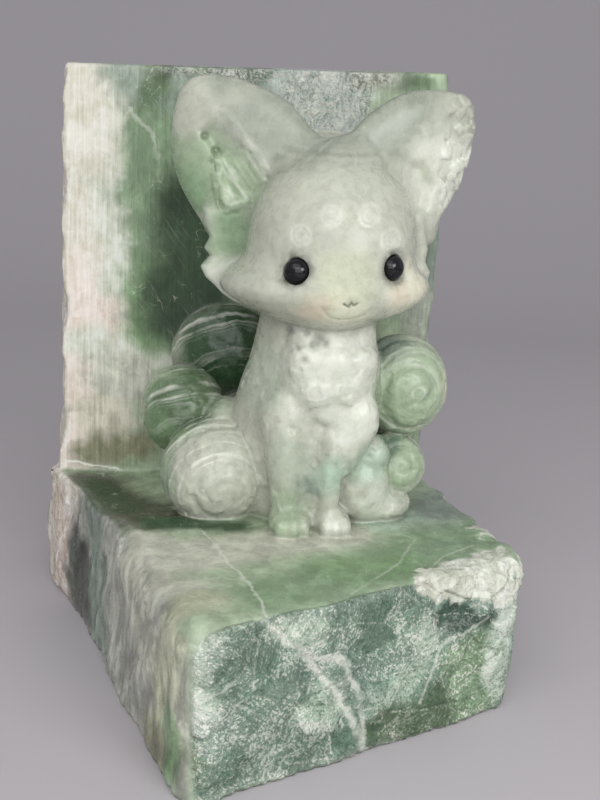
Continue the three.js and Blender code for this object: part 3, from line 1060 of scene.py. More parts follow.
def carved_relief(points):
    """The slight waviness of hand carving, with pits, the mouth and the marks on the brow."""
    x, y, z = points.T
    relief = 0.16 * layered_noise(points, 9, 91, 2) + 0.05 * layered_noise(points, 2.6, 93, 2)
    below_head = fall(z, 84, 90)
    chips, _ = broken_facets(points, 2.4, 95, 0.5)
    worked = ramp(layered_noise(points, 8, 99, 2), -0.3, 0.3)
    relief += below_head * (0.03 + 0.12 * worked) * chips
    relief += below_head * 0.12 * layered_noise(squeezed(points, 0.35), 1.9, 107, 2)
    for at, radius, depth in CHEST_PITS:
        relief -= (y < CHEST_Y) * depth * np.exp(-((from_spot(points, at) / radius) ** 2))
    relief -= 0.24 * fall(from_path(points, MOUTH), 0, 0.75)
    relief -= 0.2 * (y < NOSE_Y) * fall(from_path(across_and_up(points), NOSE_MARK), 0, 0.5)
    for at in BROW_DOTS:
        away = np.hypot(x - at[0], z - at[2])
        rings = 0.07 * np.cos(away * 2 * np.pi / 1.15)
        relief += rings * fall(away, 2.6, 3.4) * (y < BROW_Y)
    return relief + tail_relief(points) + ear_relief(points)


def tail_angles(tail, points):
    """The angles of points about a tail's pole, and how far they are off its surface, in radii."""
    local = points - np.array(tail["at"])
    polar, around = spiral_angles(tail, *local.T)
    off = np.abs(np.linalg.norm(local / np.array(tail["radii"]), axis=1) - 1)
    return polar, around, off


def turned_arcs(points):
    """Distances over each ringed tail from its pole, and how far a point is on one."""
    arc, share = np.zeros(len(points)), np.zeros(len(points))
    for tail in [*CURLED_TAILS, RINGED_TAIL]:
        polar, _, off = tail_angles(tail, points)
        on_it = fall(off, 0.05, 0.12)
        arc = np.where(on_it > share, polar * tail["radii"][0] * tail.get("ring_pace", 1), arc)
        share = np.maximum(share, on_it)
    return arc, share


def tail_relief(points):
    """Fine turned grooves on the curled tails."""
    groove_width = 3.3
    total = np.zeros(len(points))
    wander = 0.5 + 0.5 * layered_noise(points, 6, 97, 2)
    for tail in CURLED_TAILS:
        polar, around, off = tail_angles(tail, points)
        on_it = fall(off, 0.06, 0.14)
        turn = polar * tail["radii"][0] / groove_width - tail["hand"] * around / (2 * np.pi)
        total += 0.12 * np.cos(2 * np.pi * turn) * on_it * wander * ramp(polar, 0.1, 0.3)
    return total


def ear_fur(points):
    """How far inside the right ear's tuft of fur each point is, and the fur's strokes, about 0."""
    x, _, z = points.T
    across = x * FUR_RUNS[1] - z * FUR_RUNS[0]
    along = x * FUR_RUNS[0] + z * FUR_RUNS[1]
    strokes = layered_noise(np.stack([across, 0.2 * along, 0 * x], 1), 1.5, 103, 2)
    ragged = 0.5 * layered_noise(points, 1.6, 105, 2)
    return -outline_distance(EAR_FUR, x, z) + ragged, strokes


def on_right_ear(points):
    """Whether each point is on the front of the right ear."""
    return (points[:, 1] < EAR_Y) & (points[:, 0] < RIGHT_EAR_X)


def ear_relief(points):
    """A tuft of fur and a fold in the right ear, and chips on the broken side of the left ear."""
    x, y, z = points.T
    face = on_right_ear(points)
    fur, strokes = ear_fur(points)
    raised = ramp(fur, -0.1, 0.5) * fall(z, 123, 130)
    relief = face * (0.6 * raised + 0.5 * strokes * ramp(fur, 0, 1.5))
    fold = from_path(across_and_up(points), EAR_FOLD)
    relief += face * 0.3 * fall(fold + 0.6 * strokes, 0.3, 1.6)
    for hole in EAR_HOLES:
        relief -= face * 0.5 * fall(from_spot(points, hole), 0.4, 1.3)
    fringe = fall(np.abs(fur + 0.9), 0.3, 1.1) * (z < 127) * (x < 2)
    chips, seam = broken_facets(points, 3.0, 101, 0.6)
    relief += face * fringe * 0.4 * chips
    side = ramp(x - 46.6 - 0.12 * np.abs(z - 125), 0, 1.5) * ramp(z, 108, 113) * (y < -8)
    return relief + side * (0.42 * chips - 0.25 * fall(seam, 0, 0.1))


def where_on(points, share, relief):
    """A relief times its share, worked out only where it shows."""
    moved = np.zeros(len(points))
    some = share > 0.002
    if some.any():
        moved[some] = share[some] * relief(points[some])
    return moved


def relief_of(points, kinds):
    """Millimetres that each point moves out along its normal."""
    plain = (1 - kinds["crust"]) * (1 - kinds["carved"])
    sides = np.maximum(kinds["left"], kinds["right"]) * plain
    smooth = plain * (1 - np.clip(kinds["frost"] + sides, 0, 1))
    relief = where_on(points, kinds["carved"], carved_relief)
    relief += where_on(points, kinds["crust"], crust_relief)
    relief += where_on(points, kinds["front"], front_relief)
    relief += where_on(points, kinds["frost"] * (1 - kinds["front"]), frost_relief)
    relief += where_on(points, sides, side_relief)
    relief += smooth * 0.09 * layered_noise(points, 6, 109, 2)
    underside = fall(points[:, 2], 0.6, 2.5)
    back = ramp(points[:, 1], SLAB_THICKNESS - 3, SLAB_THICKNESS - 1)
    return relief * (1 - underside) * (1 - back)


# Colours, as they look in even light

PALETTE = {
    "snow": (216, 217, 206), "cream": (207, 205, 192), "bone": (209, 207, 186), "pearl": (201, 204, 191),
    "milk": (198, 202, 188), "ivory": (205, 206, 183), "blush": (216, 206, 196), "pink": (198, 189, 170),
    "icy": (186, 199, 183), "pale": (174, 177, 162), "lime": (183, 187, 163), "mist": (164, 172, 155),
    "straw": (170, 174, 148), "tan": (192, 188, 170), "haze": (181, 182, 166), "ash": (144, 150, 136),
    "grey": (158, 160, 149), "sea": (120, 143, 127), "mint": (162, 180, 161), "sage": (150, 166, 139),
    "frost": (182, 192, 185), "fern": (102, 125, 107), "pine": (56, 80, 66), "soot": (76, 80, 73),
    "leaf": (124, 147, 116), "green": (115, 141, 104), "olive": (131, 132, 105), "moss": (80, 99, 72),
    "slate": (127, 140, 127), "bark": (66, 70, 55), "dark": (45, 66, 43), "deep": (55, 80, 54),
}

# Broad bands of colour in the stone: the line each follows on its face, its half width and its colour.
# On the slab the two numbers are across and up, on the top across and back, on a side along and up.
SLAB_BANDS = [
    ([(-52, 152), (-52, 96)], 20, "cream"),
    ([(-50, 100), (-50, 50)], 16, "cream"),
    ([(-45, 112), (-42, 72)], 12, "cream"),
    ([(-48, 82), (-50, 48)], 15, "blush"),
    ([(-36, 112), (-34, 92)], 6, "milk"),
    ([(-46, 71), (-24, 71)], 5, "milk"),
    ([(-40, 62), (-32, 64)], 7, "pale"),
    ([(-30, 148), (-20, 140)], 9, "slate"),
    ([(-26, 146), (-29, 134)], 4, "moss"),
    ([(-26, 127), (-20, 108)], 10, "leaf"),
    ([(-34, 104), (-22, 100)], 3, "pale"),
    ([(-30, 112), (-26, 94)], 6, "leaf"),
    ([(-28, 90), (-27, 76)], 7, "green"),
    ([(-16, 108), (-15, 96), (-17, 84), (-8, 72), (-6, 60)], 12, "dark"),
    ([(-13, 104), (-10, 88)], 9, "deep"),
    ([(-14, 84), (-4, 66)], 8, "dark"),
    ([(-44, 53), (-37, 50)], 5, "tan"),
    ([(-42, 41), (-28, 42)], 5, "olive"),
    ([(-8, 145), (12, 147)], 7, "slate"),
    ([(18, 143), (19, 138)], 13, "frost"),
    ([(28, 148), (38, 147)], 4, "ash"),
    ([(40, 146), (45, 145)], 3, "moss"),
    ([(49, 122), (49, 90)], 7, "slate"),
    ([(49, 88), (49, 70)], 4, "ash"),
]
TOP_BANDS = [
    ([(-40, -10), (-33, -30), (-18, -42)], 11, "bark"),
    ([(-39, -14), (-30, -34)], 7, "dark"),
    ([(-17, -45), (2, -45)], 5, "deep"),
    ([(-22, -60), (-12, -68), (6, -59), (26, -46)], 9, "haze"),
    ([(-19, -80), (-8, -88)], 9, "haze"),
    ([(-8, -94), (-3, -90)], 5, "straw"),
    ([(14, -86), (24, -78), (36, -66), (48, -54)], 10, "leaf"),
    ([(28, -70), (38, -64)], 8, "green"),
    ([(50, -48), (62, -42)], 9, "leaf"),
    ([(53, -30), (56, -18)], 9, "slate"),
    ([(38, -36), (42, -33)], 7, "mint"),
]
FRONT_BANDS = [
    ([(1, 36), (0, 22)], 6, "icy"),
    ([(8, 26), (12, 34)], 5, "mint"),
    ([(12, 28), (20, 20), (27, 9)], 9, "fern"),
    ([(24, 33), (33, 30)], 4, "mint"),
    ([(-4, 14), (0, 9), (5, 2)], 5, "green"),
    ([(31, 13), (38, 17)], 4, "mint"),
    ([(42, 32), (58, 26)], 8, "fern"),
    ([(36, 4), (44, 2)], 5, "fern"),
    ([(50, 11), (60, 18), (64, 26)], 4, "mint"),
    ([(66, 27), (82, 25)], 3, "pine"),
    ([(50, 4), (74, 5)], 7, "moss"),
    ([(76, 15), (78, 4)], 8, "leaf"),
    ([(86, 27), (86, 9)], 5, "icy"),
    ([(10, 2), (34, 4)], 9, "fern"),
]
LEFT_BANDS = [
    ([(-25, 24), (-25, -6)], 32, "blush"),
    ([(12, 22), (26, 12), (44, 2)], 13, "soot"),
    ([(38, 36), (46, 12), (58, -4)], 9, "slate"),
    ([(74, 36), (94, 26)], 9, "haze"),
    ([(112, 40), (110, 8)], 8, "straw"),
    ([(102, 3), (108, 3)], 8, "olive"),
    ([(114, 16), (117, 0)], 4, "green"),
]
# On the faces out of the camera's sight: a colour, the drift's sign, and where it starts and is full
HIDDEN_BANDS = [("slate", 1, -0.1, 0.5), ("milk", -1, 0.05, 0.45)]

# Broad tones of the figure: the middle of each, how far it reaches and its colour
FOX_TONES = [
    # the head: grey over the crown, partly its own tone and partly painted shade in the hollow between the
    # ears, yellowish at the muzzle, a little pink under the eyes
    ((20, -50, 110), 22, "pale"),
    # the crown's own grey with painted shade in the hollow between the ears
    ((19, -28, 128), 13, "ash"),
    ((25, -56, 101), 9, "lime"),
    ((26, -54, 92), 7, "ivory"),
    ((42, -45, 99), 8, "bone"),
    ((1, -46, 97), 6, "pale"),
    ((19, -54, 93), 4, "pink"),
    ((39, -48, 98), 3, "pink"),
    ((-6, -31, 104), 7, "sage"),
    ((-4, -31, 112), 5, "sage"),
    # the ears: white tips, green at the outer rims
    ((4, -28, 134), 13, "ash"),
    ((-4, -28, 122), 8, "sage"),
    ((-14, -28, 126), 9, "sage"),
    ((-15, -28, 118), 8, "leaf"),
    ((-13, -28, 138), 7, "pale"),
    ((-7, -28, 144), 4, "ash"),
    ((0, -30, 119), 6, "sage"),
    ((-2, -30, 108), 6, "leaf"),
    ((-5, -31, 96), 6, "milk"),
    ((37, -31, 137), 13, "ash"),
    ((48, -25, 125), 11, "pearl"),
    # the chest and legs
    ((6, -38, 74), 10, "mist"),
    ((24, -47, 77), 13, "pearl"),
    ((31, -46, 66), 8, "pearl"),
    ((13, -46, 52), 9, "mist"),
    ((14, -48, 42), 7, "sage"),
    ((20, -44, 50), 4, "slate"),
    ((25, -46, 52), 5, "mint"),
    ((27, -48, 40), 3, "pearl"),
    # the tails, from the low left one round to the low right one
    ((-4, -42, 48), 17, "pale"),
    # painted shade on the low left tail's left side
    ((-17, -36, 48), 7, "sage"),
    ((-16, -26, 60), 13, "green"),
    ((-13, -27, 65), 10, "moss"),
    ((-26, -20, 55), 5, "pale"),
    ((-5, -6, 72), 17, "deep"),
    ((43, -28, 71), 14, "sage"),
    ((37, -26, 80), 6, "slate"),
    ((54, -26, 72), 4, "straw"),
    ((42, -32, 53), 10, "sage"),
    ((39, -34, 57), 5, "fern"),
    ((34, -41, 55), 6, "mint"),
    ((37, -40, 43), 7, "milk"),
]


def linear(name):
    """A palette colour as the renderer counts light."""
    share = np.array(PALETTE[name]) / 255
    return np.where(share < 0.04045, share / 12.92, ((share + 0.055) / 1.055) ** 2.4)


def tint(colour, name, share):
    """Moves colours towards a palette colour by a share at each point."""
    return colour + (linear(name) - colour) * np.asarray(share)[:, None]


def all_over(name, count):
    """A palette colour for each of a number of points."""
    return np.tile(linear(name), (count, 1))


def towards(colour, other, share):
    """Moves colours towards other colours by a share at each point."""
    return colour + (other - colour) * share[:, None]


def banded(start, places, bands):
    """Soft bands over a start colour, in the two coordinates of a face."""
    colour = all_over(start, len(places))
    for path, half_width, name in bands:
        away = from_path(places, path) / half_width
        colour = tint(colour, name, fall(away, 0.6, 1.3))
    return colour


def wandering(points, size, reach, seed):
    """Places moved about, so that colours drift and fray at their edges."""
    drift = [layered_noise(points, size, seed + k, 5, 0.68) for k in range(3)]
    return points + reach * np.stack(drift, 1)


def hidden_colour(points):
    """Drifting colours for the faces out of the camera's sight."""
    drifts = layered_noise(squeezed(points, 0.45), 22, 131, 4)
    colour = all_over("sage", len(points))
    for name, sign, low, high in HIDDEN_BANDS:
        colour = tint(colour, name, ramp(sign * drifts, low, high))
    return colour


def block_colour(points, kinds):
    places = wandering(points, 14, 5.5, 121)
    x, y, z = places.T
    colour = banded("sage", np.stack([x, z], 1), SLAB_BANDS)
    colour = towards(colour, hidden_colour(points), np.maximum(kinds["right"], ramp(-z, -1, 0)))
    faces = (
        ("left", "grey", (along_side(LEFT_SIDE, places), z), LEFT_BANDS),
        ("top", "sage", (x, y), TOP_BANDS),
        ("front", "sea", (along_side(FRONT_SIDE, places), z), FRONT_BANDS),
    )
    for name, start, flat, bands in faces:
        colour = towards(colour, banded(start, np.stack(flat, 1), bands), kinds[name])
    return colour


def fox_colour(points):
    """The figure's broad tones, with its small marks over them, painted shade round the eyes and in the
    chest's pits, and a painted highlight beside the eyes.
    """
    places = wandering(wandering(points, 7, 4.0, 141), 2.2, 1.6, 147)
    colour = all_over("pale", len(points))
    for at, reach, name in FOX_TONES:
        away = np.linalg.norm(places - np.array(at), axis=1) / reach
        colour = tint(colour, name, fall(away, 0.5, 1.3))
    for marked in (nose_marked, ears_marked, brow_and_chest_marked, eyes_painted_shade_and_highlight):
        colour = marked(colour, points)
    return colour


def nose_marked(colour, points):
    away = from_path(across_and_up(points), NOSE_MARK)
    return tint(colour, "dark", 0.8 * fall(away, 0.05, 0.45) * (points[:, 1] < NOSE_Y))


def ears_marked(colour, points):
    """White fur and green hollows in the right ear."""
    face = on_right_ear(points)
    fur, strokes = ear_fur(points)
    streaks = ramp(strokes, -0.1, 0.5)
    fold = fall(from_path(across_and_up(points), EAR_FOLD), 0.4, 3.0)
    colour = tint(colour, "snow", face * streaks * np.maximum(0.3 * ramp(fur, 0, 1), 0.3 * fold))
    fringe = fall(np.abs(fur + 0.9), 0.4, 1.2)
    colour = tint(colour, "moss", 0.45 * face * fringe * (points[:, 2] < 128) * (points[:, 0] < 2))
    for hole in EAR_HOLES:
        colour = tint(colour, "moss", 0.6 * face * fall(from_spot(points, hole), 0.5, 1.5))
    return colour


def brow_and_chest_marked(colour, points):
    """Pale brow dots, and painted shade in the pits in the chest."""
    for at in BROW_DOTS:
        away = np.hypot(points[:, 0] - at[0], points[:, 2] - at[2])
        colour = tint(colour, "snow", 0.3 * fall(away, 2.4, 3.3) * (points[:, 1] < BROW_Y))
    # Painted shade in the chest's pits
    for at, radius, _ in CHEST_PITS:
        away = from_spot(points, at) / radius
        colour = tint(colour, "grey", 0.8 * fall(away, 0.4, 1.3) * (points[:, 1] < CHEST_Y))
    return colour


def eyes_painted_shade_and_highlight(colour, points):
    """Painted shade round each bead in its socket, and a painted highlight on its right edge as seen from
    the front.
    """
    socket_shade = np.clip(0.75 + 0.9 * layered_noise(points, 1.3, 145, 3), 0, 0.95)
    for eye in EYES.values():
        away = np.linalg.norm(points - np.array(eye["at"]) - 0.8 * np.array(eye["looks"]), axis=1)
        # Painted shade in the socket round the bead
        colour = tint(colour, "bark", socket_shade * fall(away, 3.4, 5.4))
        # Painted highlight along the right of the bead
        beside = ramp(points[:, 0] - eye["at"][0], 0, 2)
        colour = tint(colour, "snow", 0.3 * fall(away, 3.3, 3.7) * beside)
    return colour


def crust_colour(points):
    x, _, z = points.T
    lumps = ramp(layered_noise(points, 10, 151, 3), -0.3, 0.4)
    crust = tint(all_over("blush", len(points)), "cream", lumps)
    crust = tint(crust, "pearl", ramp(x, 40, 50))
    crust = tint(crust, "slate", 0.9 * ramp(x, 44, 48) * ramp(z + 9 * lumps, 42, 66))
    return tint(crust, "blush", 0.7 * fall(z, 20, 40) * ramp(-x, 30, 45))


def colour_of(points, kinds):
    """The colour of the stone at each point, before its grain, with a painted glow on thin edges and
    painted shade in creases.
    """
    carved, crust, thin = kinds["carved"], kinds["crust"], kinds["thin"]
    colour = towards(block_colour(points, kinds), crust_colour(points), crust)
    colour = towards(colour, fox_colour(points), carved)
    # Painted glow: thin edges of the carving made whiter, as if light shone through them
    colour = tint(colour, "snow", 0.26 * thin * carved)
    # Painted glow on the thin edges of the bare stone, short of the slab's right edge
    bare_edge_glow = (1 - carved) * (1 - crust) * fall(points[:, 0], 40, 46)
    colour = tint(colour, "snow", 0.25 * thin * bare_edge_glow)
    drift = 0.5 + 0.22 * layered_noise(points, 9, 161, 4, 0.6)[:, None]
    overlaid = np.where(colour < 0.5, 2 * colour * drift, 1 - 2 * (1 - colour) * (1 - drift))
    colour = mix(colour, overlaid, 0.35)
    # Painted shade: points deep in creases made darker, less so on the crust
    return colour * (1 - 0.3 * kinds["crease"] * (1 - 0.6 * crust))[:, None]


def thickness_of(whole, points, out):
    """How thin the stone is under each point, and how deep in a crease the point lies, from 0 to 1: the
    first gives a painted glow on thin edges, the second painted shade in creases.
    """
    under, over = 2.6, 1.6
    thin = np.clip(1 + sampled(whole, points - under * out) / under, 0, 1)
    crease = np.clip(1 - sampled(whole, points + over * out) / over, 0, 1)
    return thin, crease


def add_colour(mesh, name, values):
    layer = mesh.attributes.new(name, "FLOAT_COLOR", "POINT")
    solid = np.concatenate([values, np.ones((len(values), 1))], 1)
    layer.data.foreach_set("color", solid.astype(np.float32).ravel())


def thinned(mesh, triangles):
    """A mesh with about this many triangles, fewest where it is flat."""
    holder = show("holder", mesh)
    have = sum(len(face.vertices) - 2 for face in mesh.polygons)
    shrink = holder.modifiers.new("thin", "DECIMATE")
    shrink.ratio = min(1.0, triangles / have)
    graph = bpy.context.evaluated_depsgraph_get()
    less = bpy.data.meshes.new_from_object(holder.evaluated_get(graph))
    bpy.data.objects.remove(holder)
    bpy.data.meshes.remove(mesh)
    less.name = "carved_fluorite"
    return less


def split_materials(mesh, carved):
    """Gives each face the carving's material, 1, or the block's, 0, by its points."""
    starts = np.empty(len(mesh.polygons), np.int32)
    corners = np.empty(len(mesh.loops), np.int32)
    mesh.polygons.foreach_get("loop_start", starts)
    mesh.loops.foreach_get("vertex_index", corners)
    sizes = np.diff(np.append(starts, len(corners)))
    share = np.add.reduceat(carved[corners], starts) / sizes
    mesh.polygons.foreach_set("material_index", (share > 0.5).astype(np.int32))


MOST_TRIANGLES = 192000

# Within this reach of the fox every grid cell is kept. Elsewhere this many are merged each way.
FINE_REACH = 3.0
PLAIN_CELLS = 2
HIDDEN_CELLS = 5


def coarseness(points, fox):
    """How many grid cells are merged each way: 1 at the fox and the split front."""
    off_fox = sampled(fox, points) > FINE_REACH
    coarse = np.where(off_fox & (off_side(FRONT_SIDE, points) < -3), PLAIN_CELLS, 1)
    hidden = (points[:, 1] > 3) | (points[:, 2] < 1)
    return np.where(hidden & off_fox, HIDDEN_CELLS, coarse)


def settled(points, whole):
    """Points moved onto the surface, in two steps."""
    for _ in range(2):
        gap = sampled(whole, points)
        slope = slope_at(whole, points)
        points = points - slope * (gap / np.maximum((slope**2).sum(1), 0.2))[:, None]
    return points


def bare_stone(block, fox, whole):
    """The stone's mesh, with its relief, before its colours."""
    points, faces, cells = skin_of(whole)
    points, faces = merged(points, faces, cells, coarseness(points, fox))
    points = settled(points, whole)
    kinds = surface_kinds(points, block, fox)
    points = points + way_out(whole, points, 1.0) * relief_of(points, kinds)[:, None]
    points[:, 2] = np.maximum(points[:, 2], 0)
    quads, triangles = clean_faces(faces)
    return thinned(mesh_from("carved_fluorite", points, quads, triangles), MOST_TRIANGLES)


def build_stone():
    block, fox, whole = build_fields()
    mesh = bare_stone(block, fox, whole)
    points = mesh_points(mesh)
    kinds = surface_kinds(points, block, fox)
    # Thinness and creases, for the painted glow on thin edges and the painted shade in creases; the feet
    # get no glow
    kinds["thin"], kinds["crease"] = thickness_of(whole, points, way_out(whole, points, 1.0))
    at_feet = fall(sampled(fox, points), 1, 4) * fall(points[:, 2], 38.5, 42)
    kinds["thin"] *= 1 - at_feet
    kinds["turned"], kinds["tail"] = turned_arcs(points)
    # The stone's colour with its painted glow and painted shade in it
    add_colour(mesh, "stone_colour_and_painted_light", colour_of(points, kinds))
    for name in ("frost", "crust", "slab", "sawn", "top", "front", "left", "turned", "tail"):
        add_value(mesh, name, kinds[name])
    split_materials(mesh, kinds["carved"])
    mesh.shade_smooth()
    return mesh


# Materials

def wire(tree, kind, inputs=None, **settings):
    """Adds a shader node. An input is a plain value or another node's output."""
    made = tree.nodes.new(kind)
    for name, value in settings.items():
        setattr(made, name, value)
    for name, value in (inputs or {}).items():
        if isinstance(value, bpy.types.NodeSocket):
            tree.links.new(value, made.inputs[name])
        else:
            made.inputs[name].default_value = value
    return made


def plain(values):
    """Values as plain numbers, the way nodes take them."""
    return tuple(float(value) for value in values)


class Shading:
    """Short calls for the nodes that the stone's material is made of."""

    def __init__(self, tree):
        self.tree = tree
        scaled = self.vector("MULTIPLY", self.node("TexCoord", output="Object"), (METRE,) * 3)
        self.place = self.vector("SUBTRACT", scaled, plain(OFFSET))

    def node(self, kind, inputs=None, output=0, **settings):
        """Adds a shader node and gives one of its outputs."""
        return wire(self.tree, f"ShaderNode{kind}", inputs, **settings).outputs[output]

    def vector(self, operation, a, b):
        output = "Value" if operation in ("DOT_PRODUCT", "DISTANCE") else "Vector"
        return self.node("VectorMath", {0: a, 1: b}, output, operation=operation)

    def number(self, operation, a, b=0.0, c=0.0, clamp=False):
        return self.node("Math", {0: a, 1: b, 2: c}, operation=operation, use_clamp=clamp)

    def times(self, a, b):
        return self.number("MULTIPLY", a, b)

    def times_plus(self, a, b, c):
        return self.number("MULTIPLY_ADD", a, b, c)

    def rise(self, value, low, high, start=0.0, end=1.0):
        """A smooth step from start, where the value is low, to end, where it is high."""
        inputs = {"Value": value, "From Min": low, "From Max": high, "To Min": start, "To Max": end}
        return self.node("MapRange", inputs, interpolation_type="SMOOTHSTEP")

    def blend(self, a, b, share):
        return self.node("Mix", {0: share, 2: a, 3: b}, data_type="FLOAT")

    def in_cells(self, size, stretch, place):
        """The place counted in cells of a size in millimetres."""
        return self.vector("MULTIPLY", place or self.place, plain(k / size for k in stretch))

    def noise(self, size, detail=3.0, roughness=0.55, distortion=0.0,
              stretch=(1, 1, 1), shift=0.0, place=None):
        """Noise from 0 to 1 with features of a size in millimetres."""
        moved = self.in_cells(size, stretch, place)
        if shift:
            moved = self.vector("ADD", moved, (shift, shift * 0.7, shift * 1.3))
        inputs = {"Vector": moved, "Scale": 1.0, "Detail": detail, "Roughness": roughness,
                  "Distortion": distortion}
        return self.node("TexNoise", inputs)

    def lines_of(self, distance, pitch):
        """Fine uneven lines along a distance."""
        inputs = {"W": self.times(distance, 1 / pitch), "Scale": 1.0, "Detail": 3.0}
        return self.node("TexNoise", inputs, noise_dimensions="1D")

    def channel(self, colour, number):
        return self.node("SeparateColor", {0: colour}, number)

    def cells(self, size, stretch=(1, 1, 1), place=None):
        """A random value for each cell of a size in millimetres."""
        inputs = {"Vector": self.in_cells(size, stretch, place), "Scale": 1.0}
        return self.channel(self.node("TexVoronoi", inputs, "Color"), 0)

    def edges(self, size, stretch=(1, 1, 1), place=None):
        """How far a place is from the edge between two cells, in cells."""
        inputs = {"Vector": self.in_cells(size, stretch, place), "Scale": 1.0}
        return self.node("TexVoronoi", inputs, "Distance", feature="DISTANCE_TO_EDGE")

    def flat_place(self, first, second):
        """The place seen in two directions, such as along a face and up it."""
        a = self.vector("DOT_PRODUCT", self.place, plain(first))
        b = self.vector("DOT_PRODUCT", self.place, plain(second))
        return self.node("CombineXYZ", {0: a, 1: b})

    def front_place(self, tilt):
        """The place along the front face and up it, turned by a tilt."""
        along = FRONT_SIDE[1]
        c, s = math.cos(math.radians(tilt)), math.sin(math.radians(tilt))
        return self.flat_place((along[0] * c, along[1] * c, s), (-along[0] * s, -along[1] * s, c))

    def colour(self, a, b, share, mode="MIX"):
        made = wire(self.tree, "ShaderNodeMix", data_type="RGBA", blend_type=mode)
        for socket, value in zip((made.inputs[0], made.inputs[6], made.inputs[7]), (share, a, b)):
            if isinstance(value, bpy.types.NodeSocket):
                self.tree.links.new(value, socket)
            elif socket == made.inputs[0]:
                socket.default_value = value
            else:
                socket.default_value = (*value, 1.0)
        return made.outputs[2]

    def tinted(self, colour, name, share):
        """A colour moved towards a palette colour."""
        return self.colour(colour, tuple(linear(name)), share)

    def shaded(self, colour, tone, share):
        """A colour made lighter and darker by a tone about 0.5."""
        return self.colour(colour, tone, share, "OVERLAY")

    def attribute(self, name, output="Fac"):
        return self.node("Attribute", output=output, attribute_name=name)

    def vein(self, flat, path, half_width):
        """1 along a path in a face's two coordinates, falling to 0 past its half width."""
        nearest = None
        for start, end in zip(path[:-1], path[1:]):
            start, end = Vector((*start, 0)), Vector((*end, 0))
            span = end - start
            from_start = self.vector("SUBTRACT", flat, tuple(start))
            along = self.vector("DOT_PRODUCT", from_start, tuple(span / span.length_squared))
            held = self.number("ADD", along, 0.0, clamp=True)
            foot = self.node("VectorMath", {0: tuple(span), "Scale": held}, "Vector", operation="SCALE")
            gap = self.vector("DISTANCE", from_start, foot)
            nearest = gap if nearest is None else self.number("MINIMUM", nearest, gap)
        return self.rise(nearest, half_width * 1.6, half_width * 0.2)


# White veins, cracks and the saw's last line: the path on the face, the half width and the strength
VEINS = {
    "slab": [
        ([(-50, 37.2), (-37, 36), (-23, 34)], 0.34, 0.9),
        ([(-33, 135.6), (-27, 129.4), (-25, 124)], 0.6, 0.4),
        ([(-18.6, 73), (-15, 77), (-8, 80.4)], 0.5, 0.5),
        ([(-15.1, 69), (-8.2, 70.8), (0.7, 71.5)], 0.4, 0.6),
    ],
    "top": [
        ([(-5.8, -49), (1.8, -68), (10.5, -88), (12, -97)], 0.4, 0.5),
        ([(30, -82), (41, -64), (46, -48)], 0.35, 0.3),
        ([(47, -68), (52, -58), (60, -50)], 0.3, 0.35),
    ],
    "front": [
        ([(17, 38), (28, 27.5), (38, 15), (45.5, 0)], 0.9, 0.75),
        ([(31, 26), (38, 24), (43, 15), (44.7, 2)], 0.8, 0.7),
        ([(1, 22), (12, 25.5)], 0.5, 0.45),
        ([(60, 8), (66, 20), (64, 27)], 0.4, 0.5),
        ([(66, 20), (79, 26)], 0.4, 0.5),
    ],
}


def mottled(on, grain):
    """The stone's colour, with the painted glow and shade in it, and fine mottling."""
    return on.shaded(on.attribute("stone_colour_and_painted_light", "Color"), grain, 0.3)


def cloudy(on, colour, grain, speck):
    """Painted glints as white specks in the carving, and arcs turned into the tails."""
    # Painted glints: small white specks
    glint_share = on.times(on.rise(speck, 0.6, 0.74), on.rise(grain, 0.45, 0.62, 0.0, 0.3))
    colour = on.tinted(colour, "snow", glint_share)
    wander = on.times_plus(on.noise(6.0, 2.0, shift=1.0), 1.6, on.attribute("turned"))
    arcs = on.lines_of(wander, 1.7)
    on_tail = on.times(on.attribute("tail"), on.rise(on.noise(7.0, 2.0, shift=3.0), 0.3, 0.7))
    share = on.times(on_tail, on.rise(arcs, 0.5, 0.68, 0.0, 0.62))
    return on.tinted(colour, "snow", share), arcs


def crystalline(on, colour):
    """Crisp healed cracks and veils in the bare stone, where its zones meet."""
    veil = on.noise(6.0, 5.0, 0.68, 0.4, stretch=(1, 1, 0.7), shift=21.0)
    colour = on.shaded(colour, on.rise(veil, 0.42, 0.58, 0.3, 0.7), 0.3)
    crack = on.noise(9.0, 3.0, 0.6, 0.6, shift=31.0)
    near = on.number("ABSOLUTE", on.number("SUBTRACT", crack, 0.5))
    share = on.times(on.rise(near, 0.012, 0.0), on.rise(veil, 0.5, 0.66, 0.0, 0.4))
    return on.tinted(colour, "snow", share)


def sawn(on, colour, slab):
    """Upright saw marks and scratches on the slab's face."""
    saw = on.noise(0.9, 2.0, 0.75, stretch=(1, 0.4, 0.05))
    colour = on.shaded(colour, saw, on.times(slab, 0.5))
    slanted = on.flat_place((0.8, 0, 0.6), (-0.6, 0, 0.8))
    scratch = on.noise(0.7, 2.0, 0.7, stretch=(0.9, 0.07, 1), place=slanted)
    share = on.times(slab, on.rise(scratch, 0.56, 0.76, 0.0, 0.1))
    return on.tinted(colour, "milk", share), saw


# The front's broad crystal faces: their size in millimetres, how they are stretched and their slant
FACET_SIZE = 11.0
FACET_STRETCH = (0.6, 1.1, 1)
FACET_TILT = -32

# The fine lines of each kind of patch: where it starts in the patches' values, and their slant
LINED_PATCHES = ((0.0, 18), (0.36, 68), (0.7, -38))


def split_lines(on):
    """Patches of fine lines, each at its own slant."""
    patch = on.cells(6.5, stretch=(0.7, 1.2, 1), place=on.front_place(-25))
    lines = None
    for low, tilt in LINED_PATCHES:
        place = on.front_place(tilt)
        grain = on.noise(0.48, 3.0, 0.75, stretch=(0.28, 1, 1), place=place, shift=float(tilt))
        lines = grain if lines is None else on.blend(lines, grain, on.rise(patch, low, low + 0.02))
    return lines


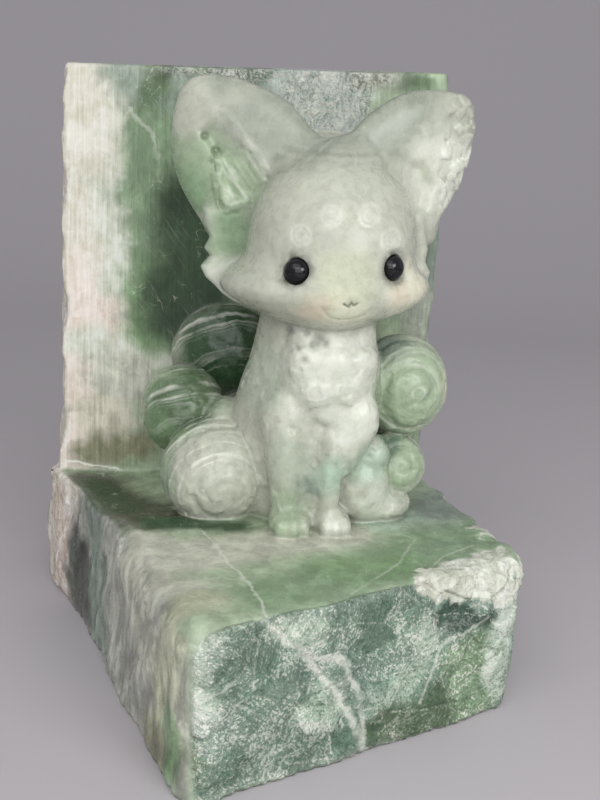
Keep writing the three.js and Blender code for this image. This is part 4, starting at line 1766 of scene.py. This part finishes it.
def split_facets(on, front):
    """Broad facets and smaller ones over them, each lighter or darker, about 0."""
    broad = on.cells(FACET_SIZE, stretch=FACET_STRETCH, place=on.front_place(FACET_TILT))
    small = on.cells(4.5, stretch=FACET_STRETCH, place=on.front_place(28))
    return on.times(front, on.number("SUBTRACT", on.number("ADD", broad, small), 1.0))


def split(on, colour, frost, front, speck):
    """The split face and the frosted patch: white specks and facets over green, with a painted highlight
    along the broad facets' edges.
    """
    crumb = on.noise(0.9, 4.0, 0.75, stretch=(1, 1, 0.45), shift=13.0)
    crumb = on.times_plus(crumb, 2.3, -0.62)
    swirl = on.noise(3.2, 6.0, 0.78, 2.4, stretch=(1, 1, 0.7), shift=17.0)
    swirl = on.times_plus(swirl, 2.6, -0.68)
    crumb = on.blend(swirl, crumb, front)
    flecks = on.times(on.cells(0.5), 0.28)
    shine = on.times_plus(on.blend(crumb, split_lines(on), front), 0.9, flecks)
    shine = on.times_plus(speck, 0.62, shine)
    shine = on.times_plus(split_facets(on, front), 0.2, shine)
    green = on.channel(colour, 1)
    strength = on.times(frost, on.rise(green, 0.08, 0.34, 0.2, 1.0))
    lighter = on.times(strength, on.rise(shine, 0.93, 1.16, 0.0, 0.9))
    darker = on.times(frost, on.rise(shine, 0.86, 0.6, 0.0, 0.62))
    colour = on.tinted(colour, "snow", lighter)
    colour = on.tinted(colour, "pine", darker)
    # Painted highlight along the edges of the broad facets on the front
    rim = on.edges(FACET_SIZE, stretch=FACET_STRETCH, place=on.front_place(FACET_TILT))
    ridge = on.times(on.rise(rim, 0.03, 0.0), on.rise(crumb, 0.4, 0.9, 0.0, 0.7))
    return on.tinted(colour, "snow", on.times(front, ridge)), shine


def broken(on, colour, side):
    """Dark and pale upright crystals on the broken sides."""
    upright = on.noise(5.0, 6.0, 0.65, 0.5, stretch=(1, 1, 0.45), shift=51.0)
    return on.shaded(colour, on.rise(upright, 0.4, 0.6, 0.22, 0.78), on.times(side, 0.5))


def crusted(on, colour, crust):
    """The pale outer crust, with pits."""
    pits = on.rise(on.noise(2.2, 5.0, 0.65, shift=5.0), 0.55, 0.32)
    share = on.times(crust, on.times(pits, 0.35))
    return on.tinted(colour, "tan", share), pits


def veined(on, colour, faces):
    """White veins and cracks along their paths, wandering a little and fainter in places."""
    wander = on.noise(3.4, 3.0, shift=2.0)
    faint = on.noise(5.0, 3.0, 0.6, shift=9.0)
    drift = on.rise(wander, 0.2, 0.8, -0.6, 0.6)
    start, along = FRONT_SIDE[:2]
    flats = {
        "slab": on.flat_place((1, 0, 0), (0, 0, 1)),
        "top": on.flat_place((1, 0, 0), (0, 1, 0)),
        "front": on.flat_place((along[0], along[1], 0), (0, 0, 1)),
    }
    begins = {"slab": 0.0, "top": 0.0, "front": float(start @ along)}
    lines = None
    for face, veins in VEINS.items():
        moved = on.vector("ADD", flats[face], drift)
        moved = on.vector("SUBTRACT", moved, (begins[face], 0, 0))
        flat = on.vector("MULTIPLY", moved, (1, 1, 0))
        for path, half_width, strength in veins:
            line = on.times(on.times(on.vein(flat, path, half_width), strength), faces[face])
            lines = line if lines is None else on.number("MAXIMUM", lines, line)
    share = on.times(lines, on.rise(faint, 0.3, 0.55, 0.35, 1.0))
    return on.tinted(colour, "snow", share)


def new_material(name):
    """A material and its shader."""
    material = bpy.data.materials.new(name)
    material.use_nodes = True
    return material, material.node_tree.nodes["Principled BSDF"]


FLUORITE_IOR = 1.434


def bumped(on, shader, height, strength, distance):
    """Gives a shader fine relief, from a height and how far it stands in millimetres."""
    inputs = {"Height": height, "Strength": strength, "Distance": distance / METRE}
    bump = wire(on.tree, "ShaderNodeBump", inputs)
    on.tree.links.new(bump.outputs["Normal"], shader.inputs["Normal"])


def finish_stone(on, shader, colour, rough, height):
    on.tree.links.new(colour, shader.inputs["Base Color"])
    on.tree.links.new(rough, shader.inputs["Roughness"])
    bumped(on, shader, height, 1.0, 1)
    shader.inputs["IOR"].default_value = FLUORITE_IOR


def carved_material():
    """Cloudy, waxy fluorite, hand carved and polished."""
    material, shader = new_material("carved_fluorite")
    on = Shading(material.node_tree)
    grain = on.noise(2.6, 6.0, 0.62, 0.15, shift=7.0)
    colour, arcs = cloudy(on, mottled(on, grain), grain, on.noise(0.5, 2.0, 0.6))
    rough = on.rise(grain, 0.3, 0.7, 0.22, 0.36)
    height = on.times(on.times(on.attribute("tail"), arcs), 0.12)
    height = on.times_plus(grain, 0.08, height)
    finish_stone(on, shader, colour, rough, height)
    shader.inputs["Subsurface Weight"].default_value = 0.22
    shader.inputs["Subsurface Radius"].default_value = (0.9, 1.0, 0.85)
    shader.inputs["Subsurface Scale"].default_value = 0.0022
    return material


def block_material():
    """Banded fluorite, sawn on the slab, split on the front and crusted on its natural sides."""
    material, shader = new_material("block_fluorite")
    on = Shading(material.node_tree)
    frost, crust, front = on.attribute("frost"), on.attribute("crust"), on.attribute("front")
    slab, top, flat_cut = on.attribute("slab"), on.attribute("top"), on.attribute("sawn")
    grain = on.noise(2.6, 5.0, 0.62, 0.15, shift=7.0)
    speck = on.noise(0.5, 2.0, 0.6)

    colour = crystalline(on, mottled(on, grain))
    colour = broken(on, colour, on.attribute("left"))
    colour, saw = sawn(on, colour, flat_cut)
    colour, shine = split(on, colour, frost, front, speck)
    colour, pits = crusted(on, colour, crust)
    colour = veined(on, colour, {"slab": slab, "top": top, "front": front})

    rough = on.rise(grain, 0.3, 0.7, 0.22, 0.36)
    for share, value in ((flat_cut, 0.55), (frost, 0.5), (crust, 0.85)):
        rough = on.blend(rough, value, share)
    height = on.times(grain, 0.12)
    reliefs = (
        (flat_cut, saw, 0.07), (frost, shine, 0.5), (crust, pits, -0.3), (crust, speck, 0.2),
        (top, speck, 0.03),
    )
    for share, relief, amount in reliefs:
        height = on.times_plus(on.times(share, relief), amount, height)
    finish_stone(on, shader, colour, rough, height)
    return material


def bead_material():
    """Glossy black glass with a faint violet cast and a few scuffs."""
    material, shader = new_material("eye_bead")
    on = Shading(material.node_tree)
    cloud = on.noise(1.4, 3.0, 0.6)
    colour = on.colour((0.003, 0.003, 0.004), (0.014, 0.013, 0.017), on.rise(cloud, 0.45, 0.75))
    on.tree.links.new(colour, shader.inputs["Base Color"])
    scuff = on.noise(0.5, 3.0, 0.7, shift=4.0)
    on.tree.links.new(on.rise(scuff, 0.4, 0.7, 0.07, 0.2), shader.inputs["Roughness"])
    bumped(on, shader, scuff, 0.15, 0.1)
    shader.inputs["Specular IOR Level"].default_value = 0.35
    return material


def place_stone():
    mesh = build_stone()
    stone = show("carved_fluorite", mesh)
    mesh.materials.append(block_material())
    mesh.materials.append(carved_material())
    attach(stone, "root")
    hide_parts("carved_stone")
    return stone


def place_beads():
    """The beads, a little flatter the way they look."""
    material = bead_material()
    for name, eye in EYES.items():
        form = bmesh.new()
        bmesh.ops.create_icosphere(form, subdivisions=5, radius=BEAD_RADIUS / METRE)
        mesh = bpy.data.meshes.new(f"{name}_polished")
        form.to_mesh(mesh)
        form.free()
        mesh.shade_smooth()
        mesh.materials.append(material)
        flatten = Matrix.Scale(BEAD_FLATNESS, 4, Vector(eye["looks"]).normalized())
        mesh.transform(Matrix.Translation(to_frame(np.array(eye["at"]))) @ flatten)
        bead = show(f"{name}_polished", mesh)
        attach(bead, "root")
        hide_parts(name)


# The studio

# The camera of the photograph: its place, its yaw, pitch and roll in degrees, and its lens
CAMERA_AT = (17.2, -313.1, 139.8)
CAMERA_TURN = (0.2, 14.5, 2.9)
FOCAL_PIXELS = 1150.0
FRAME_PIXELS = 800.0
SENSOR_WIDTH = 36.0


def add_camera():
    """The camera of the photograph: turned a little, tilted down and rolled."""
    yaw, pitch, roll = (math.radians(angle) for angle in CAMERA_TURN)
    ahead = np.array([-math.sin(yaw) * math.cos(pitch), math.cos(yaw) * math.cos(pitch), -math.sin(pitch)])
    level = np.array([math.cos(yaw), math.sin(yaw), 0.0])
    upright = np.cross(level, ahead)
    right = math.cos(roll) * level + math.sin(roll) * upright
    up = -math.sin(roll) * level + math.cos(roll) * upright
    data = bpy.data.cameras.new("camera")
    data.sensor_fit = "AUTO"
    data.sensor_width = SENSOR_WIDTH
    data.lens = FOCAL_PIXELS * SENSOR_WIDTH / FRAME_PIXELS
    data.clip_start = 0.01
    data.clip_end = 20.0
    camera = show("camera", data)
    turn = Matrix((right, up, -ahead)).transposed()
    camera.matrix_world = Matrix.Translation(to_frame(CAMERA_AT)) @ turn.to_4x4()
    bpy.context.scene.camera = camera


def add_area_light(name, place, target, size, power, colour=(1, 1, 1)):
    data = bpy.data.lights.new(name, "AREA")
    data.shape = "RECTANGLE"
    data.size, data.size_y = size
    data.energy = power
    data.color = colour
    light = show(name, data)
    light.location = place
    light.rotation_euler = (Vector(target) - Vector(place)).to_track_quat("-Z", "Y").to_euler()


def add_lights():
    target = (0, 0, 0.07)
    add_area_light("overhead", (-0.2, -0.6, 0.75), target, (0.9, 0.7), 2.85, (1.0, 0.99, 0.98))
    add_area_light("front", (0.1, -0.66, 0.34), target, (0.8, 0.5), 2.75)
    add_area_light("near the mat", (0.34, -0.42, 0.3), (0.24, -0.32, 0), (0.25, 0.25), 1.4)
    world = bpy.data.worlds.new("world")
    world.use_nodes = True
    sky = world.node_tree.nodes["Background"].inputs
    sky["Color"].default_value = (0.95, 0.96, 1.0, 1)
    sky["Strength"].default_value = 0.5
    bpy.context.scene.world = world


def floor_material():
    material, shader = new_material("mat")
    shader.inputs["Base Color"].default_value = (0.435, 0.41, 0.43, 1)
    shader.inputs["Roughness"].default_value = 0.75
    return material


def add_floor():
    """A pale mat that runs back and sweeps up behind the object."""
    flat_to, rise_radius, height, wide = 0.45, 0.5, 1.6, 1.6
    bend_steps = 16
    profile = [(-1.2, 0.0), (flat_to, 0.0)]
    for i in range(1, bend_steps + 1):
        angle = i / bend_steps * math.pi / 2
        profile.append((flat_to + rise_radius * math.sin(angle), rise_radius * (1 - math.cos(angle))))
    profile.append((flat_to + rise_radius, height))
    points = [(x, y, z) for y, z in profile for x in (-wide, wide)]
    faces = [(2 * i, 2 * i + 1, 2 * i + 3, 2 * i + 2) for i in range(len(profile) - 1)]
    mesh = bpy.data.meshes.new("floor")
    mesh.from_pydata(points, [], faces)
    mesh.shade_smooth()
    mesh.materials.append(floor_material())
    floor = show("floor", mesh)


add_camera()
add_lights()
add_floor()
place_stone()
place_beads()
bpy.context.scene.view_settings.view_transform = "Standard"
